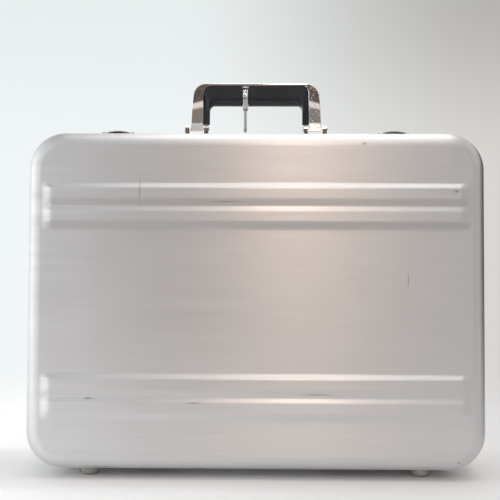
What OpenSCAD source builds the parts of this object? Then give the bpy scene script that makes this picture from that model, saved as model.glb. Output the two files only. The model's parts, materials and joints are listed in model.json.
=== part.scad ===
// Hard attache case: two drawn aluminium pans on rails, hinged below, latched on top.
// X is the width, Y the thickness with the lid towards -Y, and Z is up from the feet.

/* [Case] */
// Width over the frame rails
case_w = 460; // [380:1:520]
// Height over the frame rails
case_h = 339; // [280:1:380]
// Depth of the lid pan, from its rim to its flat face
lid_depth = 54.8; // [40:0.1:80]
// Depth of the base pan, from its rim to its flat face
base_depth = 66.9; // [45:0.1:100]
// Plan corner radius of both pans at the rim
corner_r = 38; // [30:0.5:50]
// Radius where a pan's sides turn into its face
face_fillet = 14; // [8:0.5:18]
// Thickness of the pan sheet
sheet = 1.4; // [1:0.1:2]
// Straight part of a pan's sides, next to the rim
skirt = 14; // [11:0.5:20]
// Draft angle of a pan's sides beyond the skirt
draft = 2.5; // [0.5:0.1:4]

/* [Ribs] */
// Height of each pressed rib above the face
rib_h = 3; // [1.5:0.1:4]
// Distance of each pair of ribs from the middle of the face
rib_centre = 94; // [80:0.5:100]
// Distance between the two ribs of a pair
rib_pitch = 23; // [22:0.5:26]
// Width of a rib's flat top
rib_flat = 10.5; // [8:0.1:11]
// Width of a rib's long slopes
rib_slope = 6; // [3:0.1:6]
// Distance from a rib's end to the rounding of the face's edge
rib_end_gap = 2.3; // [1:0.1:10]
// Length of a rib's end slope
rib_end_slope = 8; // [5:0.5:12]

/* [Frame rails] */
// How far a rail stands proud of the pan's side
rail_lip = 1.5; // [1:0.1:2.5]
// Height of a rail over the pan's side
rail_h = 9; // [8:0.1:11]
// Thickness of the rail's web, inner flange and groove walls
rail_wall = 1.5; // [1.2:0.1:2]
// Width of the groove that holds the gasket
groove_w = 2.8; // [2.4:0.1:3.5]
// Depth of that groove
groove_d = 4.5; // [4:0.1:6]
// Length of the lid rail's tongue
tongue_l = 2.5; // [1.5:0.1:2.8]
// Thickness of the tongue
tongue_w = 1.6; // [1.2:0.1:1.8]
// Gap between the tongue and the groove's outer wall
tongue_gap = 0.4; // [0.3:0.1:0.6]
// Thickness of the rubber gasket in the groove
gasket_h = 1.2; // [0.8:0.1:1.6]
// Gap between the two rails when the case is shut
parting_gap = 0.3; // [0.2:0.1:0.5]

/* [Lining] */
// Thickness of the fabric-covered lining board
lining = 1.5; // [1:0.1:3]
// Gap between the lining and the pan
lining_gap = 0.3; // [0.1:0.1:0.6]

/* [Feet] */
// Height from the floor to the frame rails
ground_gap = 6.5; // [6:0.1:9]
// Radius of a foot
foot_r = 9; // [7:0.5:9]
// Radius of a foot's flat sole
sole_r = 5; // [4:0.1:5.5]
// Distance of each foot from the middle of the case
foot_x = 166.5; // [120:0.5:180]
// Distance of each foot from the parting plane
foot_v = 25; // [24:0.5:34]
// Radius of a foot's screw
foot_screw_r = 1.5; // [1:0.1:2]

/* [Hinges] */
// Length of each hinge
hinge_l = 64; // [50:1:90]
// Distance of each hinge's middle from the middle of the case
hinge_x = 105; // [80:1:120]
// Radius of the hinge barrel
barrel_r = 2.6; // [2.2:0.1:2.8]
// Radius of the hinge pin
hinge_pin_r = 1.2; // [1:0.1:1.4]
// Gap between the hinge barrel and the rails
barrel_gap = 0.6; // [0.4:0.1:0.8]
// Thickness of a hinge leaf
leaf_t = 1.2; // [0.8:0.1:1.4]

/* [Handle] */
// Height of the handle's top above its pivot
handle_h = 47.5; // [40:0.5:60]
// Half width of the handle at its pivot
handle_foot_x = 69.4; // [62:0.1:76]
// Half width of the handle at its top
handle_top_x = 66.9; // [60:0.1:69]
// Outer corner radius of the handle
handle_corner = 14.7; // [10:0.1:18]
// Thickness of the handle's top bar
bar_t = 2.5; // [2:0.1:5]
// Width of a handle leg, seen from the front, at the pivot
leg_w = 13; // [10:0.1:14]
// Width of a handle leg, seen from the front, at the top
leg_top_w = 11.6; // [8:0.1:12]
// Front-to-back width of the handle
handle_depth = 20; // [16:0.5:24]
// Height of the pivot above the frame rails
pivot_h = 11.3; // [8:0.1:14]
// Distance of the handle's pivot from the parting plane
handle_v = 14; // [13:0.5:20]
// Radius of the handle's pivot pins
handle_pin_r = 1.5; // [1:0.1:2]
// Half width of the finger opening in the grip
finger_x = 49.2; // [44:0.1:50]
// Height of the finger opening above the pivot
finger_h = 24.5; // [20:0.5:28]
// Height of the grip's lower ends above the pivot
grip_end_h = 4.6; // [4.5:0.1:8]

/* [Luggage tag] */
// Place of the tag along the grip
tag_x = -11.3; // [-30:0.1:30]
// Width of the tag's strap
strap_w = 5.4; // [4:0.1:8]
// Thickness of the tag's strap
strap_t = 0.9; // [0.8:0.1:1.2]
// Radius of the grip's core inside the strap
core_r = 8.4; // [7:0.1:8.6]
// Width of the tag's plate
plate_w = 14; // [10:0.5:15]
// Height of the tag's plate
plate_h = 24.6; // [16:0.1:25]
// Thickness of the tag's plate
plate_t = 1; // [1:0.1:2]
// Thickness of each clear cover on the plate
cover_t = 1; // [0.8:0.1:1.7]

/* [Latches] */
// Distance of each latch from the middle of the case
latch_x = 144.1; // [120:0.1:150]
// Width of the domed hasp
hasp_w = 23.8; // [18:0.1:26]
// Width of the lock body and of the hasp's bracket
latch_w = 33.5; // [32:0.1:40]
// Height of the hasp's crown above the frame rails
hasp_h = 6; // [5.8:0.1:8]
// Rise of the hasp's dome over its width
hasp_rise = 1.5; // [1:0.1:2.6]
// Thickness of the hasp's plate
hasp_t = 1; // [0.8:0.1:1.2]
// Distance from the parting plane to the hasp's hinge
hasp_v = 5; // [4.8:0.1:5.5]
// Height of the hasp's hinge above the frame rails
hasp_axis_h = 2.9; // [2.7:0.1:3.2]
// How far the hasp reaches past the parting plane
hasp_reach = 17; // [15:0.5:18]
// Length of the lock body
lock_l = 30; // [28:0.5:36]
// Height of the lock body's block behind the hasp
lock_h = 4.6; // [4.2:0.1:5]
// Travel of the lock's slider
slider_travel = 5; // [3:0.5:6]
// Radius of the key cylinder
key_r = 3.2; // [2.5:0.1:3.5]

/* [Lid stays] */
// Distance of the stay's brackets above the hinge axis
stay_r = 60; // [50:1:80]
// Distance of the stay's brackets from the parting plane
stay_v = 20; // [18:0.5:30]
// Width of a stay link
link_w = 8; // [7:0.5:10]
// Thickness of a stay link
link_t = 1.5; // [1:0.1:2]

/* [Clearances] */
// Radial clearance of a pin that turns in its bore
run = 0.05; // [0.03:0.01:0.1]
// Gap around pieces that are fitted into each other
fit = 0.05; // [0.02:0.01:0.1]
// Gap between pieces that move past each other
slack = 0.4; // [0.3:0.05:0.6]

/* [Hidden] */
$fn = 64;
eps = 0.01;
shell_w = case_w - 2 * rail_lip;
shell_h = case_h - 2 * rail_lip;
mid_z = ground_gap + case_h / 2;
top_z = ground_gap + case_h;
thickness = lid_depth + base_depth + parting_gap + 2 * rib_h;
parting_y = rib_h + lid_depth + parting_gap / 2 - thickness / 2;
hinge_z = ground_gap - barrel_gap - barrel_r;
fillet_reach = face_fillet * tan(45 - draft / 2);
groove_in = sheet + fit + rail_wall;
rail_in = groove_in + groove_w + rail_wall;
// Reach of rivets and screws below the rails' outside, ending flush inside the rails
shank = rail_lip + groove_in - fit;
drill = shank + 0.5;
rivet_head_r = 1.9;
rivet_head_t = 0.25;
lining_hole_r = 4;
// Width and height of the linings' openings round the stays' brackets
stay_cut_w = 24;
stay_cut_h = 44;
// How far a cutting solid reaches past what it cuts
past = 5;
leaf_w = 8.5;
leaf_gap = 0.6;
knuckles = 5;
knuckle_gap = 0.5;
knuckle_l = (hinge_l - (knuckles - 1) * knuckle_gap) / knuckles;
rivet_r = 1.2;
rivet_places = [-0.36, 0, 0.36];
pivot_z = top_z + pivot_h;
handle_y = parting_y + handle_v;
core_h = handle_h - bar_t - core_r - strap_t - 2 * slack + 0.1;
ring_in = core_r + 0.3;
ring_out = ring_in + strap_t;
ear_r = 4;
ear_spread = 0.6;
leg_gap = 1.2;
ear_w = 4.6;
bracket_w = leg_w + 2 * leg_gap + 2 * ear_w;
bracket_plate_t = 1.5;
pin_head_t = 0.4;
leg_mid_x = handle_foot_x - leg_w / 2;
bracket_l = 24;
leg_end_r = 2.5;
screw_places = [5.4, 20.6];
screw_head_r = 2.8;
screw_head_h = 1.2;
stay_x = shell_w / 2 - sheet - 0.8;
stay_pin_r = 1.5;
stay_plate_t = 1.5;
stay_plate_w = 18;
stay_boss_r = 4;
link_l = norm([stay_r, stay_v]);
link_gap = 0.5;
elbow_play = 0.1;
stay_head_t = 1;
stay_head_r = 2.6;
stay_rivet_z = 6;
stay_rivet_r = 1.6;
lower_x = shell_w / 2 - rail_in - link_gap - link_t;
upper_x = lower_x - link_gap - link_t;
stay_lean = atan(stay_v / stay_r);
// Underside of the shell at the foot's edge nearest to the parting plane, less a little play
foot_top = ground_gap + rail_lip + (foot_v - foot_r - skirt) * tan(draft) - 0.02;
sole_round = foot_r - sole_r;
foot_recess_r = 3.1;
foot_recess_h = 3.2;
foot_head_r = 3;
foot_head_low = 1.4;
foot_head_h = 1.8;
strap_low = ring_out + 6;
tag_low = -ring_out - 4 - plate_h;
tag_rivet_z = -ring_out - 3.5;
tag_rivet_r = 1;
// Width and height of the plate's tongue in the strap
tongue_plate_w = 5;
tongue_plate_h = 5.6;
plate_round = 3;
cover_in = 0.2;
lock_v = 5.5;
hasp_rivet_x = 8;
hasp_rivet_v = 2.4;
lock_rivet_x = latch_w / 2 - 3;
lock_front_v = lock_v + 2;
lock_rear_v = lock_v + lock_l - 3;

// Puts a pan's own frame, with its rim at z = 0 and its face up, onto the lid or the base.
module as_lid() {
  translate([0, parting_y - parting_gap / 2, mid_z]) rotate([90, 0, 0]) children();
}
module as_base() {
  translate([0, parting_y + parting_gap / 2, mid_z]) mirror([0, 1, 0]) rotate([90, 0, 0]) children();
}
// Places things on the case's top, v past the parting plane, above the frame rails.
module on_top(x, v) {
  translate([x, parting_y + v, top_z]) children();
}
module both() {
  children();
  mirror([1, 0, 0]) children();
}
// A rounded rectangle centred on the origin
module rounded(w, l, r) {
  square([w - 2 * r, l], center = true);
  square([w, l - 2 * r], center = true);
  for (x = [-1, 1], y = [-1, 1]) translate([x * (w / 2 - r), y * (l / 2 - r)]) circle(r = r);
}
module rod(r, x0, x1) {
  translate([x0, 0, 0]) rotate([0, 90, 0]) cylinder(r = r, h = x1 - x0);
}

// Sweeps a section round the rim, with u outward from the pan's side and v into the pan.
module sweep() {
  for (s = [[0, shell_w, shell_h], [90, shell_h, shell_w], [180, shell_w, shell_h],
            [270, shell_h, shell_w]]) rotate(s[0]) {
    translate([s[1] / 2, s[2] / 2 - corner_r])
      rotate([90, 0, 0]) linear_extrude(s[2] - 2 * corner_r) children();
    translate([s[1] / 2 - corner_r, s[2] / 2 - corner_r])
      rotate_extrude(angle = 90) translate([corner_r, 0]) children();
  }
}
// Solid section of a pan, grown outward by g, of a given depth and fillet, from v0 down
module pan_section(g, depth, fillet, v0) {
  lean = (depth - skirt) * tan(draft);
  k = fillet * tan(45 - draft / 2);
  polygon([[-corner_r, v0], [g, v0], [g, skirt],
           [g - lean + k * sin(draft), depth - k * cos(draft)],
           [g - lean - k, depth], [-corner_r, depth]]);
  translate([g - lean - k, depth - fillet]) circle(r = fillet);
}
// A pan with a wall of thickness t, its outside set in by inset, its rim at v0
module pan(inset, depth, t, v0) {
  sweep() difference() {
    pan_section(-inset, depth - inset, face_fillet - inset, v0);
    pan_section(-inset - t, depth - inset - t, face_fillet - inset - t, v0 - 1);
  }
  translate([0, 0, depth - inset - t / 2])
    cube([shell_w - 2 * corner_r + eps, shell_h - 2 * corner_r + eps, t], center = true);
}
module rib(depth, y) {
  half = shell_w / 2 - (depth - skirt) * tan(draft) - fillet_reach - rib_end_gap;
  translate([0, y, depth]) intersection() {
    rotate([90, 0, 90]) linear_extrude(2 * half, center = true)
      polygon([[-rib_flat / 2 - rib_slope, 0], [rib_flat / 2 + rib_slope, 0],
               [rib_flat / 2, rib_h], [-rib_flat / 2, rib_h]]);
    rotate([90, 0, 0]) linear_extrude(rib_flat + 2 * rib_slope, center = true)
      polygon([[-half, 0], [half, 0], [half - rib_end_slope, rib_h],
               [-half + rib_end_slope, rib_h]]);
  }
}
module ribs(depth) {
  for (side = [-1, 1], place = [-0.5, 0.5]) rib(depth, side * rib_centre + place * rib_pitch);
}
module ribbed_pan(depth) {
  difference() {
    union() {
      pan(0, depth, sheet, rail_wall + fit);
      ribs(depth);
    }
    translate([0, 0, -sheet]) ribs(depth);
  }
}

// Holes that every rivet and screw needs, in the case's own frame
module foot_axis(v) {
  for (x = [-1, 1]) translate([x * foot_x, parting_y + v, 0]) children();
}
module hinge_rivet_axis(side) {
  for (x = [-1, 1], place = rivet_places)
    translate([x * hinge_x + place * hinge_l, parting_y + side * (leaf_w / 2 + leaf_gap), 0]) children();
}
module handle_screw_axis() {
  for (x = [-1, 1], v = screw_places)
    translate([x * leg_mid_x, parting_y + v, 0]) children();
}
module latch_rivet_axis(v, dx) {
  for (x = [-1, 1], side = [-1, 1])
    translate([x * latch_x + side * dx, parting_y + v, 0]) children();
}
module foot_drill() {
  cylinder(r = foot_screw_r + fit, h = foot_top + 6);
}
module hinge_drill() {
  cylinder(r = rivet_r + fit, h = ground_gap + drill);
}
module top_drill(r) {
  translate([0, 0, top_z - drill]) cylinder(r = r + fit, h = drill + lock_h + 1);
}
module lid_holes() {
  foot_axis(-foot_v) foot_drill();
  hinge_rivet_axis(-1) hinge_drill();
  latch_rivet_axis(-hasp_rivet_v, hasp_rivet_x) top_drill(rivet_r);
}
module base_holes() {
  foot_axis(foot_v) foot_drill();
  hinge_rivet_axis(1) hinge_drill();
  handle_screw_axis() top_drill(handle_pin_r);
  latch_rivet_axis(lock_rear_v, lock_rivet_x) top_drill(rivet_r);
  latch_rivet_axis(lock_front_v, hasp_rivet_x) top_drill(rivet_r);
}

module lid_shell() {
  color("silver") difference() {
    as_lid() ribbed_pan(lid_depth);
    lid_holes();
  }
}
module base_shell() {
  color("silver") difference() {
    as_base() ribbed_pan(base_depth);
    base_holes();
  }
}
// Channel that holds a pan's rim
function channel() = [[rail_lip, 0], [rail_lip, rail_h], [fit, rail_h], [fit, rail_wall + fit],
                      [-sheet - fit, rail_wall + fit], [-sheet - fit, rail_h],
                      [-groove_in, rail_h]];
module lid_rail() {
  t = groove_in + tongue_gap;
  polygon(concat(channel(), [[-groove_in, rail_wall], [-t - tongue_w, rail_wall],
                             [-t - tongue_w, -tongue_l], [-t, -tongue_l], [-t, 0]]));
}
module base_rail() {
  floor_v = groove_d + rail_wall;
  polygon(concat(channel(), [[-groove_in, floor_v], [-rail_in, floor_v], [-rail_in, 0],
                             [-rail_in + rail_wall, 0], [-rail_in + rail_wall, groove_d],
                             [-groove_in, groove_d], [-groove_in, 0]]));
}
module lid_frame() {
  color("gainsboro") difference() {
    as_lid() sweep() lid_rail();
    lid_holes();
  }
}
module base_frame() {
  color("gainsboro") difference() {
    as_base() sweep() base_rail();
    base_holes();
  }
}
module gasket() {
  color("dimgray") as_base() sweep()
    translate([-groove_in - groove_w + fit, groove_d - gasket_h]) square([groove_w - 2 * fit, gasket_h]);
}
// Lining boards, cut away round the stays' brackets and the screws' ends
module lining(depth) {
  pan(sheet + lining_gap, depth, lining, rail_h + 1);
}
module lining_cuts(side) {
  for (x = [-1, 1])
    translate([x * shell_w / 2, parting_y + side * stay_v, hinge_z + stay_r])
      cube([stay_cut_w, 2 * stay_v, stay_cut_h], center = true);
  foot_axis(side * foot_v) cylinder(r = lining_hole_r + 1, h = 8 * past);
}
module lining_drill() {
  translate([0, 0, top_z - 4 * past]) cylinder(r = lining_hole_r, h = 4 * past);
}
module lid_lining() {
  color("slategray") difference() {
    as_lid() lining(lid_depth);
    lining_cuts(-1);
  }
}
module base_lining() {
  color("slategray") difference() {
    as_base() lining(base_depth);
    lining_cuts(1);
    handle_screw_axis() lining_drill();
    latch_rivet_axis(lock_rear_v, lock_rivet_x) lining_drill();
  }
}

// A domed foot with a flat sole and a recessed screw
module foot() {
  rotate_extrude() {
    translate([foot_screw_r + fit, foot_recess_h])
      square([sole_r - foot_screw_r - fit, foot_top - foot_recess_h]);
    translate([foot_recess_r, 0]) square([sole_r - foot_recess_r, foot_recess_h]);
    translate([sole_r - eps, sole_round]) square([sole_round + eps, foot_top - sole_round]);
    intersection() {
      translate([sole_r, sole_round]) circle(r = sole_round);
      translate([sole_r - eps, 0]) square([sole_round + eps, sole_round + eps]);
    }
  }
}
module foot_screw() {
  translate([0, 0, foot_head_low]) cylinder(r = foot_head_r, h = foot_head_h - fit);
  translate([0, 0, foot_head_low + foot_head_h / 2]) cylinder(r = foot_screw_r, h = foot_top + 3);
}
module feet_lid() { color("gray") foot_axis(-foot_v) foot(); }
module feet_base() { color("gray") foot_axis(foot_v) foot(); }
module foot_screws_lid() { color("lightgray") foot_axis(-foot_v) foot_screw(); }
module foot_screws_base() { color("lightgray") foot_axis(foot_v) foot_screw(); }

// Hinges, with five knuckles each
function knuckle_x(i) = -hinge_l / 2 + i * (knuckle_l + knuckle_gap);
module hinge_leaf(side, first) {
  difference() {
    union() {
      translate([-hinge_l / 2, min(0, side * (leaf_w + leaf_gap)), barrel_r + barrel_gap - leaf_t])
        cube([hinge_l, leaf_w + leaf_gap, leaf_t]);
      for (i = [first:2:knuckles - 1]) rod_at(knuckle_x(i), barrel_r);
    }
    for (i = [1 - first:2:knuckles - 1])
      translate([knuckle_x(i) - knuckle_gap, -barrel_r - slack, -barrel_r - 1])
        cube([knuckle_l + 2 * knuckle_gap, 2 * (barrel_r + slack), 2 * barrel_r + 4]);
    rod(hinge_pin_r + run, -hinge_l, hinge_l);
  }
}
module rod_at(x, r) {
  rod(r, x, x + knuckle_l);
}
module hinge_place() {
  for (x = [-1, 1]) translate([x * hinge_x, parting_y, hinge_z]) children();
}
module hinge_leaves_lid() {
  color("silver") difference() {
    hinge_place() hinge_leaf(-1, 1);
    lid_holes();
  }
}
module hinge_leaves_base() {
  color("silver") difference() {
    hinge_place() hinge_leaf(1, 0);
    base_holes();
  }
}
module hinge_rivet() {
  translate([0, 0, ground_gap - leaf_t - 2 * rivet_head_t]) cylinder(r = rivet_head_r, h = 2 * rivet_head_t);
  translate([0, 0, ground_gap - leaf_t - rivet_head_t])
    cylinder(r = rivet_r, h = leaf_t + rivet_head_t + shank);
}
module hinge_rivets_lid() { color("lightgray") hinge_rivet_axis(-1) hinge_rivet(); }
module hinge_rivets_base() { color("lightgray") hinge_rivet_axis(1) hinge_rivet(); }
module hinge_pin(side) {
  color("lightgray") translate([side * hinge_x, parting_y, hinge_z]) {
    rod(hinge_pin_r, -hinge_l / 2 - 0.2, hinge_l / 2 + 0.2);
    rod(barrel_r - 0.4, -hinge_l / 2 - 1, -hinge_l / 2 - 0.2);
    rod(barrel_r - 0.4, hinge_l / 2 + 0.2, hinge_l / 2 + 1);
  }
}
module hinge_pin_left() { hinge_pin(-1); }
module hinge_pin_right() { hinge_pin(1); }

// Lid stays: two links of equal length that make a rhombus with the hinge axis
module stay_bracket(side) {
  link_x = side > 0 ? lower_x : upper_x;
  translate([0, parting_y + side * stay_v, hinge_z + stay_r]) {
    translate([stay_x - stay_plate_t, -stay_plate_w / 2, -stay_plate_w / 2])
      cube([stay_plate_t, stay_plate_w, stay_plate_w]);
    rod(stay_boss_r, link_x + link_t + link_gap, stay_x - stay_plate_t / 2);
    rod(stay_pin_r, link_x - link_gap - stay_head_t, stay_x - stay_plate_t / 2);
    rod(stay_head_r, link_x - link_gap - stay_head_t, link_x - link_gap);
    for (z = [-stay_rivet_z, stay_rivet_z])
      translate([0, 0, z]) rod(stay_rivet_r, stay_x - 1.5 * stay_plate_t, stay_x);
  }
}
// A link from its bracket at the origin to the elbow, lying at x, with its end bores
module link(x, lean, elbow_r) {
  rotate([lean, 0, 0]) difference() {
    translate([x, 0, 0]) rotate([90, 0, 90]) linear_extrude(link_t) {
      circle(d = link_w);
      translate([-link_w / 2, 0]) square([link_w, link_l]);
      translate([0, link_l]) circle(d = link_w);
    }
    rod(stay_pin_r + run, x - 5, x + 5);
    translate([0, 0, link_l]) rod(elbow_r, x - 5, x + 5);
  }
}
module stay_lower() {
  translate([0, parting_y + stay_v, hinge_z + stay_r]) link(lower_x, stay_lean, stay_pin_r / 2);
  translate([0, parting_y, hinge_z + 2 * stay_r]) {
    rod(stay_pin_r, upper_x - link_gap - stay_head_t, lower_x + link_t);
    rod(stay_head_r, upper_x - link_gap - stay_head_t, upper_x - link_gap);
  }
}
module stay_upper() {
  translate([0, parting_y - stay_v, hinge_z + stay_r]) link(upper_x, -stay_lean, stay_pin_r + elbow_play);
}
module stay_bracket_base_left() { color("silver") mirror([1, 0, 0]) stay_bracket(1); }
module stay_bracket_base_right() { color("silver") stay_bracket(1); }
module stay_bracket_lid_left() { color("silver") mirror([1, 0, 0]) stay_bracket(-1); }
module stay_bracket_lid_right() { color("silver") stay_bracket(-1); }
module stay_lower_left() { color("silver") mirror([1, 0, 0]) stay_lower(); }
module stay_lower_right() { color("silver") stay_lower(); }
module stay_upper_left() { color("silver") mirror([1, 0, 0]) stay_upper(); }
module stay_upper_right() { color("silver") stay_upper(); }

// Height above the pivot where the legs reach the handle's full front-to-back width
leg_taper_h = 26;
// Size of the chamfers along the top bar
bar_chamfer = 2;
// Height of the side outline above the bar, so that its top is cut and not grazed
skim = 0.05;
leg_low = -leg_end_r - 1;
inner_corner = 8;
finger_corner = 5;
// How far the grip's sides lie inside the chrome's, and the radius of its lower edges
grip_in = 1;
grip_round = 8.5;
// Height above a corner's centre where a leg's straight side ends inside the corner's circle
shoulder = 2;
tuck = 0.1;
// Handle outlines, seen from the front, with the pivot at the origin
module arch(foot, top, h, r, low) {
  neck = top - r + sqrt(r * r - shoulder * shoulder) - tuck;
  polygon([[-foot, low], [foot, low], [neck, h - r + shoulder], [-neck, h - r + shoulder]]);
  translate([r - top - 3 * tuck, low]) square([2 * (top - r + 3 * tuck), h - low - 2 * eps]);
  for (x = [-1, 1]) translate([x * (top - r), h - r]) circle(r = r);
}
module chrome_outline() {
  difference() {
    arch(handle_foot_x, handle_top_x, handle_h, handle_corner, leg_low);
    arch(handle_foot_x - leg_w, handle_top_x - leg_top_w, handle_h - bar_t, inner_corner, leg_low - 1);
  }
}
module grip_outline() {
  difference() {
    arch(handle_foot_x - leg_w - fit, handle_top_x - leg_top_w - fit, handle_h - bar_t - fit,
         inner_corner - fit, leg_low - 1);
    arch(finger_x, finger_x, finger_h, finger_corner, leg_low - 2);
    translate([-handle_foot_x, leg_low - 2]) square([2 * handle_foot_x, grip_end_h - leg_low + 2]);
  }
}
// Handle outlines, seen from the side
module chrome_side() {
  half = handle_depth / 2;
  top = handle_h + skim;
  circle(r = leg_end_r);
  polygon([[-leg_end_r, 0], [leg_end_r, 0], [half, leg_taper_h], [half, top - bar_chamfer],
           [half - bar_chamfer, top], [bar_chamfer - half, top], [-half, top - bar_chamfer],
           [-half, leg_taper_h]]);
}
module grip_side() {
  half = handle_depth / 2 - grip_in;
  foot = leg_end_r - grip_in;
  neck = half - 1.5;
  round_z = finger_h + grip_round;
  polygon([[-foot, 0], [foot, 0], [neck, round_z], [half, round_z],
           [half, handle_h], [-half, handle_h], [-half, round_z], [-neck, round_z]]);
  for (x = [-1, 1]) translate([x * (half - grip_round), round_z]) circle(r = grip_round);
  square([2 * (half - grip_round), 2 * finger_h], center = true);
}
module front_extrude() {
  rotate([90, 0, 0]) linear_extrude(2 * handle_depth, center = true) children();
}
module side_extrude(w) {
  rotate([90, 0, 90]) linear_extrude(w, center = true) children();
}
module handle_place() {
  translate([0, handle_y, pivot_z]) children();
}
module handle_frame() {
  color("lightgray") handle_place() difference() {
    intersection() {
      front_extrude() chrome_outline();
      side_extrude(3 * handle_foot_x) chrome_side();
    }
    rod(handle_pin_r + run, -handle_foot_x - 1, handle_foot_x + 1);
  }
}
module handle_grip() {
  color("dimgray") handle_place() {
    difference() {
      intersection() {
        front_extrude() grip_outline();
        side_extrude(3 * handle_foot_x) grip_side();
      }
      translate([tag_x, 0, finger_h + 15])
        cube([strap_w + 2 * slack, 2 * handle_depth, 40], center = true);
    }
    translate([0, 0, core_h]) rod(core_r, tag_x - strap_w / 2 - slack - 1, tag_x + strap_w / 2 + slack + 1);
  }
}
// A handle bracket: a plate with two ears, each side of the handle's leg
module handle_bracket(side) {
  color("lightgray") difference() {
    on_top(side * leg_mid_x, handle_v) {
      translate([0, 0, bracket_plate_t / 2]) cube([bracket_w, bracket_l, bracket_plate_t], center = true);
      translate([-bracket_w / 2, rail_h - handle_v + slack, -rail_lip])
        cube([bracket_w, skirt - rail_h - slack, rail_lip + eps]);
      for (ear_x = [-bracket_w / 2, bracket_w / 2 - ear_w])
        translate([ear_x, 0, 0]) rotate([90, 0, 90]) linear_extrude(ear_w) {
          translate([0, pivot_h]) circle(r = ear_r);
          polygon([[-ear_r - ear_spread, 0], [ear_r + ear_spread, 0], [ear_r, pivot_h], [-ear_r, pivot_h]]);
        }
    }
    handle_place() rod(handle_pin_r + fit, -case_w / 2, case_w / 2);
    base_holes();
  }
}
module handle_bracket_left() { handle_bracket(-1); }
module handle_bracket_right() { handle_bracket(1); }
module handle_pins() {
  color("lightgray") handle_place() both() {
    rod(handle_pin_r, leg_mid_x - bracket_w / 2 - 2 * pin_head_t, leg_mid_x + bracket_w / 2 + 2 * pin_head_t);
    for (x = [-1, 1]) translate([leg_mid_x + x * (bracket_w / 2 + pin_head_t + 0.1), 0, 0])
      rod(handle_pin_r + 0.6, -pin_head_t, pin_head_t);
  }
}
module handle_screws() {
  color("lightgray") handle_screw_axis() translate([0, 0, top_z]) {
    translate([0, 0, bracket_plate_t]) cylinder(r = screw_head_r, h = screw_head_h);
    translate([0, 0, -shank]) cylinder(r = handle_pin_r, h = shank + bracket_plate_t + screw_head_h / 2);
  }
}

// Luggage tag on the handle's grip
module tag_place() {
  translate([tag_x, handle_y, pivot_z + core_h]) children();
}
module tag_strap() {
  color("silver") tag_place() difference() {
    side_extrude(strap_w) {
      difference() {
        union() {
          circle(r = ring_out);
          polygon([[-3, -strap_low], [3, -strap_low], [ring_out * 0.9, -ring_out * 0.5],
                   [-ring_out * 0.9, -ring_out * 0.5]]);
        }
        circle(r = ring_in);
      }
    }
    translate([0, 0, -ring_out - tongue_plate_h])
      cube([plate_t + 2 * fit, tongue_plate_w + 3, 2 * tongue_plate_h - 1.2], center = true);
    translate([0, 0, tag_rivet_z]) rod(tag_rivet_r + fit, -strap_w, strap_w);
  }
}
module tag_plate() {
  color("gray") tag_place() difference() {
    side_extrude(plate_t) {
      translate([0, tag_low + (plate_h - 1) / 2]) rounded(plate_w, plate_h - 1, plate_round);
      translate([0, -ring_out - 4]) square([tongue_plate_w, tongue_plate_h], center = true);
    }
    for (z = [tag_rivet_z, tag_low + plate_round])
      translate([0, 0, z]) rod(tag_rivet_r + fit, -strap_w, strap_w);
  }
}
module tag_covers() {
  color("whitesmoke") tag_place() both() difference() {
    translate([plate_t / 2 + cover_t / 2, 0, 0]) side_extrude(cover_t)
      translate([0, tag_low + plate_h / 2 - 4 * cover_in])
        rounded(plate_w - 3 * cover_in, plate_h - 1 - 7 * cover_in, plate_round - cover_in);
    translate([0, 0, tag_low + plate_round]) rod(tag_rivet_r + fit, -strap_w, strap_w);
  }
}
module tag_rivets() {
  color("dimgray") tag_place() {
    translate([0, 0, tag_rivet_z]) rod(tag_rivet_r, -strap_w / 2 - 0.3, strap_w / 2 + 0.3);
    translate([0, 0, tag_low + plate_round])
      rod(tag_rivet_r, -plate_t / 2 - cover_t - 0.2, plate_t / 2 + cover_t + 0.2);
  }
}

// Latches: a domed hasp hinged on the lid, and a lock body on the base
dome_r = (pow(hasp_w / 2, 2) + pow(hasp_rise, 2)) / (2 * hasp_rise);
cheek_t = 3.6;
cheek_r = 2.2;
lug_t = 2.4;
lug_r = 1.6;
hasp_pin_r = 0.7;
low_h = 2.2;
hook_v = 12;
hook_w = 8;
hook_t = 1.2;
hasp_plate_t = 1;
// How far the dome reaches behind the hasp's pin, and clears it
dome_back = 1.6;
dome_clear = 0.4;
block_v = hasp_reach + slack + 0.8;
module latch(side, v) {
  if (side > 0) on_top(latch_x, v) children();
  else mirror([1, 0, 0]) on_top(latch_x, v) children();
}
module hasp_bracket(side) {
  color("silver") difference() {
    latch(side, -hasp_v) {
      difference() {
        translate([-latch_w / 2, hasp_v - rail_h, 0]) cube([latch_w, rail_h - 0.5, hasp_plate_t]);
        translate([-hasp_w / 2 - slack, hasp_v - rail_h - 1, -1])
          cube([hasp_w + 2 * slack, rail_h - hasp_v + 0.8, 3]);
      }
      both() translate([latch_w / 2 - cheek_t, 0, 0]) rotate([90, 0, 90]) linear_extrude(cheek_t) {
        translate([0, hasp_axis_h]) circle(r = cheek_r);
        translate([-cheek_r, 0]) square([2 * cheek_r, hasp_axis_h]);
      }
    }
    latch(side, -hasp_v) translate([0, 0, hasp_axis_h]) rod(hasp_pin_r + fit, -latch_w, latch_w);
    lid_holes();
  }
}
module dome(r, l, w) {
  rotate([-90, 0, 0]) linear_extrude(l) intersection() {
    translate([0, dome_r]) circle(r = r, $fn = 128);
    translate([-w / 2, -1]) square([w, dome_r]);
  }
}
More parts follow.
